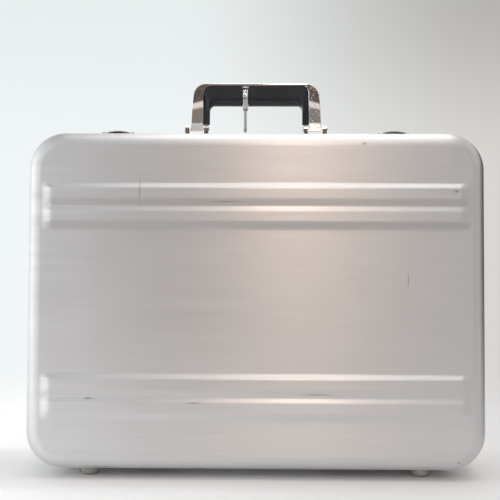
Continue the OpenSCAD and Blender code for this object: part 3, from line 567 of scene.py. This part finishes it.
def pan_side(profile, xs, zs, path, cells, rise, count):
    """Points, flat pattern and faces of one side of a pan. The rings end in the grid xs by zs."""
    points, outward = path
    verts, flat, faces = [], [], []
    developed = np.concatenate([[0], np.cumsum([math.dist(a, b) for a, b in zip(profile, profile[1:])])])
    developed = developed[-1] - developed - CORNER_R
    rings = []
    for (u, v), length in zip(profile[:-1], developed):
        ring = points + outward * u
        spread = points + outward * length
        on_face = v >= profile[-1][1] - 1e-9
        height = rise(ring[:, 0], ring[:, 1]) if on_face else np.zeros(len(ring))
        rings.append([count + len(verts) + number for number in range(len(ring))])
        verts += [(x, v + h, z) for (x, z), h in zip(ring, height)]
        flat += [tuple(point) for point in spread]
    start = count + len(verts)
    grid_x, grid_z = np.meshgrid(xs, zs, indexing="ij")
    height = rise(grid_x, grid_z)
    for column in range(len(xs)):
        verts += [(xs[column], profile[-1][1] + height[column, row], zs[row]) for row in range(len(zs))]
        flat += [(xs[column], zs[row]) for row in range(len(zs))]
    rings.append([start + ix * len(zs) + iz for ix, iz in cells])
    for first, second in zip(rings, rings[1:]):
        faces += ring_faces(first, second)
    for column in range(len(xs) - 1):
        first = [start + column * len(zs) + row for row in range(len(zs))]
        second = [number + len(zs) for number in first]
        faces += ring_faces(first, second, closed=False)
    return verts, flat, faces, rings[0]


def ribbed_pan(name, rim, side, depth, finish, body, node):
    """A drawn pan with its pressed ribs, inside and outside, closed at its rim"""
    crest = RIB_FLAT / 2
    breaks = [centre + reach for centre in RIB_ZS
              for reach in (-crest - RIB_LOWER, -crest, crest, crest + RIB_UPPER)]
    xs = grid_lines(HALF_X - CORNER_R)
    zs = grid_lines(HALF_Z - CORNER_R, breaks)
    points, outward, cells = plan_path(xs, zs, CORNER_R, CORNER_STEPS)

    def rise(x, z):
        return rib_height(x, z, depth) + face_wave(x, z)
    rim_v = RAIL_WALL + FIT
    path = (points, outward)
    outer = pan_side(pan_profile(depth, 0, rim_v), xs, zs, path, cells, rise, 0)
    inner = pan_side(pan_profile(depth, SHEET, rim_v), xs, zs, path, cells, rise, len(outer[0]))
    verts = [(x, rim + side * v, MID_Z + z) for x, v, z in outer[0] + inner[0]]
    faces = outer[2] + inner[2] + ring_faces(outer[3], inner[3])
    return piece(name, verts, faces, finish, body, [node], outer[1] + inner[1])


def rails(finish):
    """Both frame rails: the lid's has a tongue, the base's a groove"""
    channel = [(RAIL_LIP, 0), (RAIL_LIP, RAIL_H), (FIT, RAIL_H), (FIT, RAIL_WALL + FIT),
               (-SHEET - FIT, RAIL_WALL + FIT), (-SHEET - FIT, RAIL_H), (-GROOVE_IN, RAIL_H)]
    tongue = [(-GROOVE_IN, RAIL_WALL), (-TONGUE_IN - TONGUE_W, RAIL_WALL),
              (-TONGUE_IN - TONGUE_W, -TONGUE_L), (-TONGUE_IN, -TONGUE_L), (-TONGUE_IN, 0)]
    floor = GROOVE_D + RAIL_WALL
    groove = [(-GROOVE_IN, floor), (-RAIL_IN, floor), (-RAIL_IN, 0), (-RAIL_IN + RAIL_WALL, 0),
              (-RAIL_IN + RAIL_WALL, GROOVE_D), (-GROOVE_IN, GROOVE_D), (-GROOVE_IN, 0)]
    edge = 0.35 * MM
    swept_ring("lid_rail", rounded_outline(channel + tongue, edge), LID_RIM, -1, finish,
               "lid", ["lid_frame"])
    swept_ring("base_rail", rounded_outline(channel + groove, edge), BASE_RIM, 1, finish,
               "base", ["base_frame"])


def gasket(finish):
    """The rubber strip in the base rail's groove, with a crowned face"""
    low, high = -GROOVE_IN - GROOVE_W + FIT, -GROOVE_IN - FIT
    top = GROOVE_D - GASKET_H
    crown = [(low + (high - low) * share, top + 0.25 * MM * (2 * share - 1) ** 2)
             for share in np.linspace(0, 1, 9)]
    section = crown + [(high, GROOVE_D - 0.05 * MM), (low, GROOVE_D - 0.05 * MM)]
    swept_ring("gasket_strip", section, BASE_RIM, 1, finish, "base", ["gasket"])


# Handle, seen from the front with its pivot at the origin
CHROME_LOW, CHROME_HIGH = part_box("handle_frame")
PIN_LOW, PIN_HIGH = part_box("handle_pins")
LEG_END_R = 2.5 * MM
PIVOT = Vector((0, (CHROME_LOW.y + CHROME_HIGH.y) / 2, CHROME_LOW.z + LEG_END_R))
HANDLE_H = CHROME_HIGH.z - PIVOT.z
FOOT_X = 69.4 * MM
TOP_X = 66.9 * MM
HANDLE_CORNER = 14.7 * MM
BAR_T = 2.5 * MM
LEG_W = 13 * MM
LEG_TOP_W = 11.6 * MM
INNER_CORNER = 8 * MM
HANDLE_HALF = (CHROME_HIGH.y - CHROME_LOW.y) / 2
TAPER_H = 26 * MM
FINGER_X = 49.2 * MM
FINGER_H = 24.5 * MM
FINGER_CORNER = 5 * MM
GRIP_END = 4.6 * MM
GRIP_HALF = HANDLE_HALF - 1 * MM
GRIP_ROUND = 8.5 * MM
TAG_LOW, TAG_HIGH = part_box("tag_strap")
TAG_X = (TAG_LOW.x + TAG_HIGH.x) / 2
STRAP_W = TAG_HIGH.x - TAG_LOW.x
RING_OUT = (TAG_HIGH.y - TAG_LOW.y) / 2
RING_T = 0.9 * MM
CORE_R = 8.4 * MM
CORE_Z = TAG_HIGH.z - RING_OUT
CARD_CORNER = 2.8 * MM
CARD_EDGE = 0.35 * MM


def half_arch(foot, top, height, corner, low, heights, turns):
    """Right half of an arch: up its leg, round its corner, and to the start of its top"""
    spring = height - corner
    points = [(foot + (top - foot) * max(0, z) / spring, z) for z in heights(low, spring)]
    for angle in np.linspace(0, math.pi / 2, turns + 1)[1:]:
        points.append((top - corner + corner * math.cos(angle), spring + corner * math.sin(angle)))
    return points


def loft(stations, rounds=4):
    """Closed solid through stations: outer point, inner point, half depth, outer and inner radius"""
    verts, rings = [], []
    for outer, inner, half, outer_r, inner_r in stations:
        outer, inner = Vector(outer), Vector(inner)
        thick = (outer - inner).length
        across = (outer - inner) / thick
        ring = []
        for corner in range(4):
            way_in = 1 if corner in (0, 1) else -1
            way_y = 1 if corner in (0, 3) else -1
            radius = min(outer_r if way_in > 0 else inner_r, 0.49 * thick, 0.98 * half)
            from_in = thick / 2 * way_in - radius * way_in
            from_y = (half - radius) * way_y
            start = {0: 0, 1: -90, 2: 180, 3: 90}[corner]
            for step in range(rounds + 1):
                turn = start + 90 * (1 - step / rounds)
                angle = math.radians(turn)
                u = from_in + radius * math.cos(angle)
                y = from_y + radius * math.sin(angle)
                point = (outer + inner) / 2 + across * u
                ring.append(len(verts))
                verts.append((point.x, y, point.y))
        rings.append(ring)
    faces = [rings[0], rings[-1][::-1]]
    for first, second in zip(rings, rings[1:]):
        faces += ring_faces(first, second)
    return verts, faces


def joined(parts):
    """Several solids as one list of points and one of faces"""
    verts, faces = [], []
    for points, sides in parts:
        faces += [[len(verts) + number for number in side] for side in sides]
        verts += points
    return verts, faces


def at_pivot(points):
    """Moves points from the handle's own origin to its pivot."""
    return [(x, y + PIVOT.y, z + PIVOT.z) for x, y, z in points]


def mirrored(stations):
    """The same stations on the left, from the top down to the leg's end"""
    return [((-outer[0], outer[1]), (-inner[0], inner[1]), *rest)
            for outer, inner, *rest in reversed(stations)]


def chrome_half_depth(z):
    """Half of the frame's depth at a height: a blunt end, then a taper that blends into the bar"""
    lean = (HANDLE_HALF - LEG_END_R) / TAPER_H
    if z < 0:
        return max(0.25 * MM, (LEG_END_R + lean * z) * max(0, 1 - (z / LEG_END_R) ** 8) ** 0.25)
    blend = 9 * MM
    over = min(1.0, max(0.0, (z - TAPER_H + blend) / (2 * blend)))
    return LEG_END_R + lean * (min(z, TAPER_H - blend) + blend * over * (2 - over))


def chrome_frame(finish):
    """The polished U that holds the grip"""
    def heights(low, spring):
        ends = [low * part for part in (1, 0.985, 0.93, 0.82, 0.6, 0.3)]
        return ends + list(np.linspace(0, spring, 18))
    outer = half_arch(FOOT_X, TOP_X, HANDLE_H, HANDLE_CORNER, -LEG_END_R, heights, 16)
    inner = half_arch(FOOT_X - LEG_W, TOP_X - LEG_TOP_W, HANDLE_H - BAR_T, INNER_CORNER,
                      -LEG_END_R, heights, 16)
    leg = []
    blend_from, blend_over = 22, 14
    for number, (out, inn) in enumerate(zip(outer, inner)):
        turn = min(1.0, max(0.0, (number - blend_from) / blend_over))
        leg.append((out, inn, chrome_half_depth(out[1]), (0.6 + 1.5 * turn) * MM, 0.55 * MM))
    top = [((x, HANDLE_H), (x * (TOP_X - LEG_TOP_W - INNER_CORNER) / (TOP_X - HANDLE_CORNER),
                            HANDLE_H - BAR_T), HANDLE_HALF, 2.1 * MM, 0.55 * MM)
           for x in np.linspace(TOP_X - HANDLE_CORNER, HANDLE_CORNER - TOP_X, 15)[1:-1]]
    verts, faces = loft(leg + top + mirrored(leg))
    return crisp(piece("chrome_handle", at_pivot(verts), faces, finish, "handle",
                       ["handle_frame"]))


def grip_half_depth(z):
    """Half of the grip's depth along its legs"""
    foot = LEG_END_R - 1 * MM
    return min(GRIP_HALF, foot + (GRIP_HALF - 1.5 * MM - foot) * z / (FINGER_H + GRIP_ROUND))


def core_solid():
    """The grip's round core inside the tag's strap"""
    xs = [TAG_X + side * (STRAP_W / 2 + 1.4 * MM) for side in (-1, 1)]
    verts, rings = [], []
    for x in xs:
        ring = []
        for angle in np.linspace(0, 2 * math.pi, 49)[:-1]:
            ring.append(len(verts))
            verts.append((x, CORE_R * math.cos(angle), CORE_Z - PIVOT.z + CORE_R * math.sin(angle)))
        rings.append(ring)
    return verts, [rings[0], rings[1][::-1]] + ring_faces(rings[0], rings[1])


def black_handle_grip(finish):
    """The black grip inside the chrome, in two stretches with a round core at the tag"""
    def heights(low, spring):
        return list(np.linspace(GRIP_END, spring, 14))
    top_z, top_x, corner = HANDLE_H - BAR_T - FIT, TOP_X - LEG_TOP_W - FIT, INNER_CORNER - FIT
    outer = half_arch(FOOT_X - LEG_W - FIT, top_x, top_z, corner, 0, heights, 16)
    inner = half_arch(FINGER_X, FINGER_X, FINGER_H, FINGER_CORNER, 0, heights, 16)
    leg = []
    blend_from, blend_over = 12, 16
    for number, (out, inn) in enumerate(zip(outer, inner)):
        turn = min(1.0, max(0.0, (number - blend_from) / blend_over))
        depth = grip_half_depth(out[1]) * (1 - turn) + GRIP_HALF * turn
        leg.append((out, inn, depth, 0.5 * MM, 2.2 * MM + (GRIP_ROUND - 2.2 * MM) * turn))
    slot = [TAG_X + side * (STRAP_W / 2 + 0.4 * MM) for side in (1, -1)]
    near_tag = 20 * MM

    def bar(start, end):
        ratio = (FINGER_X - FINGER_CORNER) / (top_x - corner)
        made = []
        for x in np.linspace(start, end, 8):
            low_x = x * ratio if abs(x) > near_tag else x
            made.append(((x, top_z), (low_x, FINGER_H), GRIP_HALF, 0.5 * MM, GRIP_ROUND))
        return made
    right = leg + bar(top_x - corner, slot[0])[1:]
    left = bar(slot[1], corner - top_x)[:-1] + mirrored(leg)
    verts, faces = joined([loft(right, 6), loft(left, 6), core_solid()])
    return crisp(piece("black_handle", at_pivot(verts), faces, finish, "handle",
                       ["handle_grip"]))


# Luggage tag, seen from the side with the grip's core at the origin
def strap_outline():
    """The strap's outside: a ring that narrows to its throat, as points (y, z)"""
    low = RING_OUT + 6 * MM
    turn = math.radians(205)
    ring = [(RING_OUT * math.cos(angle), RING_OUT * math.sin(angle))
            for angle in np.linspace(math.radians(-25), turn, 44)]
    side = [(ring[-1][0] + (-3 * MM - ring[-1][0]) * share, ring[-1][1] + (-low - ring[-1][1]) * share)
            for share in (0.2, 0.4, 0.6, 0.8, 0.95)]
    bottom = [(-3 * MM + 6 * MM * share, -low) for share in (0.08, 0.36, 0.64, 0.92)]
    other = [(-y, z) for y, z in reversed(side)]
    return ring + side + bottom + other


def tag_strap(finish):
    """A metal band round the grip, with raised edges and a hollowed middle"""
    outline = [Vector(point) for point in strap_outline()]
    half = STRAP_W / 2
    # Places across the band, each with its depth under the outline in mm
    bands = [(-half, 0.3), (-half + 0.15 * MM, 0.08), (-half + 0.45 * MM, 0), (-half + 1.2 * MM, 0),
             (-half + 1.6 * MM, 0.22), (half - 1.6 * MM, 0.22), (half - 1.2 * MM, 0),
             (half - 0.45 * MM, 0), (half - 0.15 * MM, 0.08), (half, 0.3)]
    verts, rings = [], []
    for x, deep in bands:
        rings.append([len(verts) + number for number in range(len(outline))])
        verts += [(x, *(point - point.normalized() * deep * MM)) for point in outline]
    inner_r = RING_OUT - RING_T
    for x in (half, -half):
        rings.append([len(verts) + number for number in range(len(outline))])
        verts += [(x, *(point.normalized() * inner_r)) for point in outline]
    faces = []
    for number in range(len(rings)):
        faces += ring_faces(rings[number], rings[(number + 1) % len(rings)])
    points = [(TAG_X + x, PIVOT.y + y, CORE_Z + z) for x, y, z in verts]
    return piece("tag_band", points, faces, finish, "tag", ["tag_strap"])


def rounded_rectangle(width, height, radius, rounds=6):
    """Points round a rectangle with rounded corners"""
    points = []
    for quarter, (way_x, way_z) in enumerate(((1, 1), (-1, 1), (-1, -1), (1, -1))):
        for step in range(rounds + 1):
            angle = math.pi / 2 * (quarter + step / rounds)
            points.append((way_x * (width / 2 - radius) + radius * math.cos(angle),
                           way_z * (height / 2 - radius) + radius * math.sin(angle)))
    return points


def card(x0, x1, width, height, radius, edge):
    """A thin upright plate between x0 and x1 with rounded corners and edges"""
    verts, rings = [], []
    stations = [(x0, edge), (x0 + 0.3 * edge, 0.3 * edge), (x0 + edge, 0), (x1 - edge, 0),
                (x1 - 0.3 * edge, 0.3 * edge), (x1, edge)]
    for x, inset in stations:
        outline = rounded_rectangle(width - 2 * inset, height - 2 * inset, radius - inset)
        rings.append([len(verts) + number for number in range(len(outline))])
        verts += [(x, y, z) for y, z in outline]
    faces = [rings[0], rings[-1][::-1]]
    for first, second in zip(rings, rings[1:]):
        faces += ring_faces(first, second)
    return verts, faces


def tag_cards(clear):
    """The clear covers, one each side of the tag's plate"""
    low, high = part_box("tag_covers")
    plate_low, plate_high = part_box("tag_plate")
    height, width = high.z - low.z, high.y - low.y
    middle_y, middle_z = (low.y + high.y) / 2, (low.z + high.z) / 2
    verts, faces = joined([card(low.x, plate_low.x, width, height, CARD_CORNER, CARD_EDGE),
                           card(plate_high.x, high.x, width, height, CARD_CORNER, CARD_EDGE)])
    points = [(x, y + middle_y, z + middle_z) for x, y, z in verts]
    return piece("tag_windows", points, faces, clear, "tag", ["tag_covers"])


# Feet
SOLE_ROUND = 5.2 * MM
SOLE_EDGE = 0.3 * MM
RECESS_R = 3.1 * MM
RECESS_H = 3.2 * MM
SCREW_R = 1.55 * MM


def lathe(profile, segments=40):
    """A closed solid turned about the Z axis from points (radius, z)"""
    verts, rings = [], []
    for radius, z in profile:
        rings.append([len(verts) + number for number in range(segments)])
        verts += [(radius * math.cos(angle), radius * math.sin(angle), z)
                  for angle in np.linspace(0, 2 * math.pi, segments + 1)[:-1]]
    faces = []
    for number in range(len(rings)):
        faces += ring_faces(rings[number], rings[(number + 1) % len(rings)])
    return verts, faces


def feet(node, body, finish):
    """Two domed rubber feet with a recess for the screw's head"""
    low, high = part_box(node)
    radius, top = (high.y - low.y) / 2, high.z
    sole = radius - SOLE_ROUND
    dome = [(sole + SOLE_ROUND * math.sin(angle), SOLE_ROUND * (1 - math.cos(angle)))
            for angle in np.linspace(0, math.pi / 2, 13)]
    profile = [(RECESS_R + SOLE_EDGE, 0)] + dome
    profile += [(radius, top - SOLE_EDGE), (radius - SOLE_EDGE, top), (SCREW_R, top)]
    profile += [(SCREW_R, RECESS_H), (RECESS_R, RECESS_H), (RECESS_R, SOLE_EDGE)]
    verts, faces = lathe(profile)
    middle_y = (low.y + high.y) / 2
    parts = []
    for x in (low.x + radius, high.x - radius):
        parts.append(([(x + px, middle_y + py, pz) for px, py, pz in verts], faces))
    verts, faces = joined(parts)
    return piece(node + "_moulded", verts, faces, finish, body, [node])


# Stage. The world is set by direction: x to the right, y away from the camera, z up. Turns are in degrees.
BLACK = (0, 0, 0, 1)
LIT_POINT = (0, 0, 0.2)
FLOOR_RINGS = (0.05, 0.2, 0.5, 1.0, 1.6, 2.4)
CAMERA_PLACE = (0.0, -0.9505, 0.1928)
CAMERA_TURN = (92.1, -0.23, 0.8)
CAMERA_LENS = 65.09
CAMERA_SHIFT = 0.0144


def seen_backdrop(graph, x, z):
    """The pale backdrop that the camera sees, dimmer to the upper right"""
    backdrop = graph.mix(graph.spread(x, -0.1, 0.3), (0.88, 0.93, 0.93, 1), (0.69, 0.665, 0.635, 1))
    right = graph.spread(x, -0.1, 0.25, 0.08, 0.34)
    dimmed = graph.math("MULTIPLY", graph.spread(z, 0.1, 0.32), right)
    return graph.mix(dimmed, backdrop, BLACK)


def mirrored_backdrop(graph, x, seen):
    """The backdrop as the case's edges mirror it: brighter on the left, dark on the right"""
    backdrop = graph.mix(graph.spread(x, -0.02, -0.25), seen, (1.12, 1.16, 1.17, 1))
    return graph.mix(graph.spread(x, 0.32, 0.55), backdrop, (0.1, 0.092, 0.087, 1))


def room_in_front(graph, x, z):
    """What the lid's face and the handle mirror, from a bright left to a dark right"""
    room = graph.mix(graph.spread(x, -0.34, -0.1), (1.6, 1.64, 1.66, 1), (0.39, 0.385, 0.379, 1))
    room = graph.mix(graph.spread(x, 0.06, 0.36), room, (0.03, 0.027, 0.026, 1))
    room = graph.mix(graph.spread(z, 0.05, 0.2, 0.0, 0.09), room, (1.9, 1.87, 1.84, 1))
    off_centre = graph.math("ABSOLUTE", x)
    strip = graph.math("MAXIMUM", graph.spread(z, 0.1, 0.15), graph.spread(off_centre, 0.2, 0.12))
    strip = graph.math("MULTIPLY", strip, graph.spread(z, 0.36, 0.31))
    strip = graph.math("MULTIPLY", strip, graph.spread(off_centre, 0.16, 0.09))
    room = graph.mix(strip, room, (0.13, 0.1, 0.086, 1))
    window = graph.math("MULTIPLY", graph.spread(z, 0.1, 0.14), graph.spread(x, 0.1, 0.19))
    window = graph.math("MULTIPLY", window, graph.spread(z, 0.28, 0.24))
    return graph.mix(window, room, (1.2, 1.18, 1.16, 1))


def room_ceiling(graph, x, y, z):
    """A pale ceiling with a darker band across it in front of the case"""
    ceiling = graph.mix(graph.spread(x, -0.24, -0.05), (0.62, 0.63, 0.645, 1), (0.86, 0.845, 0.83, 1))
    band = graph.math("MULTIPLY", graph.spread(z, 0.5, 0.62), graph.spread(z, 0.86, 0.78))
    band = graph.math("MULTIPLY", band, graph.spread(y, -0.2, -0.45, 0.0, 0.3))
    return graph.mix(band, ceiling, BLACK)


def studio_world():
    """Soft studio light by direction. The camera itself sees only the backdrop."""
    world = bpy.data.worlds.new("studio")
    bpy.context.scene.world = world
    world.use_nodes = True
    graph = Graph(world.node_tree)
    shade = world.node_tree.nodes["Background"]
    x, y, z = graph.axes(graph.node("TexCoord").outputs["Generated"])
    seen = seen_backdrop(graph, x, z)
    backdrop = mirrored_backdrop(graph, x, seen)
    sides = graph.mix(graph.spread(y, -0.35, 0.45), room_in_front(graph, x, z), backdrop)
    above = graph.mix(graph.spread(z, 0.3, 0.48), sides, room_ceiling(graph, x, y, z))
    low = graph.math("MULTIPLY", graph.spread(z, -0.05, -0.13), graph.spread(y, 0.0, -0.4))
    table = graph.mix(graph.spread(z, -0.3, -0.22), (0.26, 0.23, 0.21, 1), (0.95, 0.88, 0.84, 1))
    color = graph.mix(low, above, table)
    on_camera = graph.node("LightPath").outputs["Is Camera Ray"]
    graph.set(shade, "Color", graph.mix(on_camera, color, seen))
    graph.set(shade, "Strength", 1.0)


def softbox(name, spot, width, height, watts, color):
    """A soft rectangular lamp that faces the case"""
    light = bpy.data.lights.new(name, "AREA")
    light.shape = "RECTANGLE"
    light.size = width
    light.size_y = height
    light.energy = watts
    light.color = color
    made = bpy.data.objects.new(name, light)
    bpy.context.scene.collection.objects.link(made)
    made.location = spot
    made.rotation_euler = (Vector(LIT_POINT) - Vector(spot)).to_track_quat("-Z", "Y").to_euler()
    return made


def pale_floor():
    """A pale table top that melts into the backdrop, with painted shade darker to the right and painted
    light glowing a little outside the case's shadow
    """
    verts, rings, faces = [], [], []
    for radius in FLOOR_RINGS:
        rings.append([len(verts) + number for number in range(64)])
        verts += [(radius * math.cos(angle), radius * math.sin(angle), 0)
                  for angle in np.linspace(0, 2 * math.pi, 65)[:-1]]
    faces.append(rings[0])
    for first, second in zip(rings, rings[1:]):
        faces += ring_faces(first, second)
    mesh = bpy.data.meshes.new("floor")
    mesh.from_pydata(verts, [], faces)
    made, graph, shader = material("floor", (0.86, 0.86, 0.86), 0.0, 0.55)
    x, y, _ = graph.axes(place(graph))
    paper = graph.noise(place(graph), 40.0, 3.0)
    # Painted shade: the floor's colour darkens from the left to the right
    tone = graph.mix(graph.spread(x, -0.2, 0.45), (0.96, 0.96, 0.96, 1), (0.79, 0.785, 0.78, 1))
    tone = graph.mix(graph.spread(paper, 0.3, 0.7, 0, 0.02), tone, (0.7, 0.7, 0.7, 1))
    graph.set(shader, "Base Color", tone)
    away = graph.math("SQRT", graph.math("MULTIPLY_ADD", x, x, graph.math("MULTIPLY", y, y)))
    far_fade = graph.spread(away, 0.45, 1.3, 1.0, 0.0)
    near_fade = graph.spread(y, -0.36, -0.14)
    graph.set(shader, "Alpha", graph.math("MULTIPLY", far_fade, near_fade))
    # Painted light: the floor glows faintly for camera and glossy rays outside the case's shadow, more on
    # the left
    rays = graph.node("LightPath").outputs
    shown = graph.math("MAXIMUM", rays["Is Camera Ray"], rays["Is Glossy Ray"])
    clear_of_shadow = graph.spread(graph.math("ABSOLUTE", y), 0.075, 0.12)
    painted_floor_light = graph.math("MULTIPLY", graph.math("MULTIPLY", shown, clear_of_shadow),
                      graph.spread(x, -0.3, 0.2, 0.13, 0.03))
    graph.set(shader, "Emission Color", (0.88, 0.96, 1.0, 1))
    graph.set(shader, "Emission Strength", painted_floor_light)
    mesh.materials.append(made)
    floor = bpy.data.objects.new("floor", mesh)
    bpy.context.scene.collection.objects.link(floor)


def photo_camera():
    """The camera where the photograph was taken from"""
    camera = bpy.data.cameras.new("camera")
    camera.type = "PERSP"
    camera.sensor_width = 36
    camera.lens = CAMERA_LENS
    camera.shift_x = CAMERA_SHIFT
    made = bpy.data.objects.new("camera", camera)
    bpy.context.scene.collection.objects.link(made)
    made.location = CAMERA_PLACE
    made.rotation_euler = [math.radians(turn) for turn in CAMERA_TURN]
    bpy.context.scene.camera = made


# The object
sheet_metal = brushed_sheet()
rail_metal = bright_rail()
chrome = polished_chrome()
steel = worn_metal("satin_steel", (0.56, 0.56, 0.57), 0.3, 700.0)
lock_metal = worn_metal("nickelled_lock", (0.5, 0.49, 0.475), 0.16, 500.0)
brass = worn_metal("brass", (0.72, 0.53, 0.25), 0.2, 600.0)
tag_metal = worn_metal("tag_nickel", (0.74, 0.73, 0.7), 0.18, 600.0)
plate_metal = worn_metal("tag_plate_metal", (0.42, 0.42, 0.4), 0.35, 800.0)
grip_plastic = black_grip()
rubber = foot_rubber()
seal_rubber = gasket_rubber()
cloth = lining_cloth()
clear = clear_plastic()

ribbed_pan("lid_pan", LID_RIM, -1, LID_DEPTH, sheet_metal, "lid", "lid_shell")
ribbed_pan("base_pan", BASE_RIM, 1, BASE_DEPTH, sheet_metal, "base", "base_shell")
rails(rail_metal)
gasket(seal_rubber)
chrome_frame(chrome)
black_handle_grip(grip_plastic)
tag_strap(tag_metal)
tag_cards(clear)
feet("feet_lid", "lid", rubber)
feet("feet_base", "base", rubber)

STEEL_NODES = ["hinge_leaves_lid", "hinge_leaves_base", "hinge_pin_left", "hinge_pin_right",
               "hinge_rivets_lid", "hinge_rivets_base", "foot_screws_lid", "foot_screws_base",
               "stay_bracket_base_left", "stay_bracket_base_right", "stay_bracket_lid_left",
               "stay_bracket_lid_right", "stay_lower_left", "stay_lower_right", "stay_upper_left",
               "stay_upper_right", "hasp_pin_left", "hasp_pin_right", "latch_rivets_lid",
               "latch_rivets_base"]
CHROME_NODES = ["handle_bracket_left", "handle_bracket_right", "handle_pins", "handle_screws"]
LOCK_NODES = ["hasp_left", "hasp_right", "hasp_bracket_left", "hasp_bracket_right", "lock_body_left",
              "lock_body_right", "lock_slider_left", "lock_slider_right"]
for node_name in STEEL_NODES:
    softened(node_name, steel, 0.15 * MM)
for node_name in CHROME_NODES:
    softened(node_name, chrome)
for node_name in LOCK_NODES:
    softened(node_name, lock_metal, 0.2 * MM)
for node_name in ("key_cylinder_left", "key_cylinder_right"):
    softened(node_name, brass, 0.15 * MM)
softened("tag_plate", plate_metal, 0.2 * MM)
softened("tag_rivets", steel, 0.1 * MM)
dress(cloth, "lid_lining", "base_lining")

studio_world()
softbox("overhead", (0.15, -0.05, 1.5), 1.0, 1.0, 4.8, (1.0, 1.0, 1.0))
softbox("left", (-1.6, -0.4, 0.7), 1.6, 1.3, 1.7, (0.97, 0.99, 1.0))
softbox("warm", (0.16, -2.3, 1.55), 0.25, 0.6, 5.6, (1.0, 0.76, 0.62))
pale_floor()
photo_camera()
bpy.context.scene.view_settings.view_transform = "Standard"
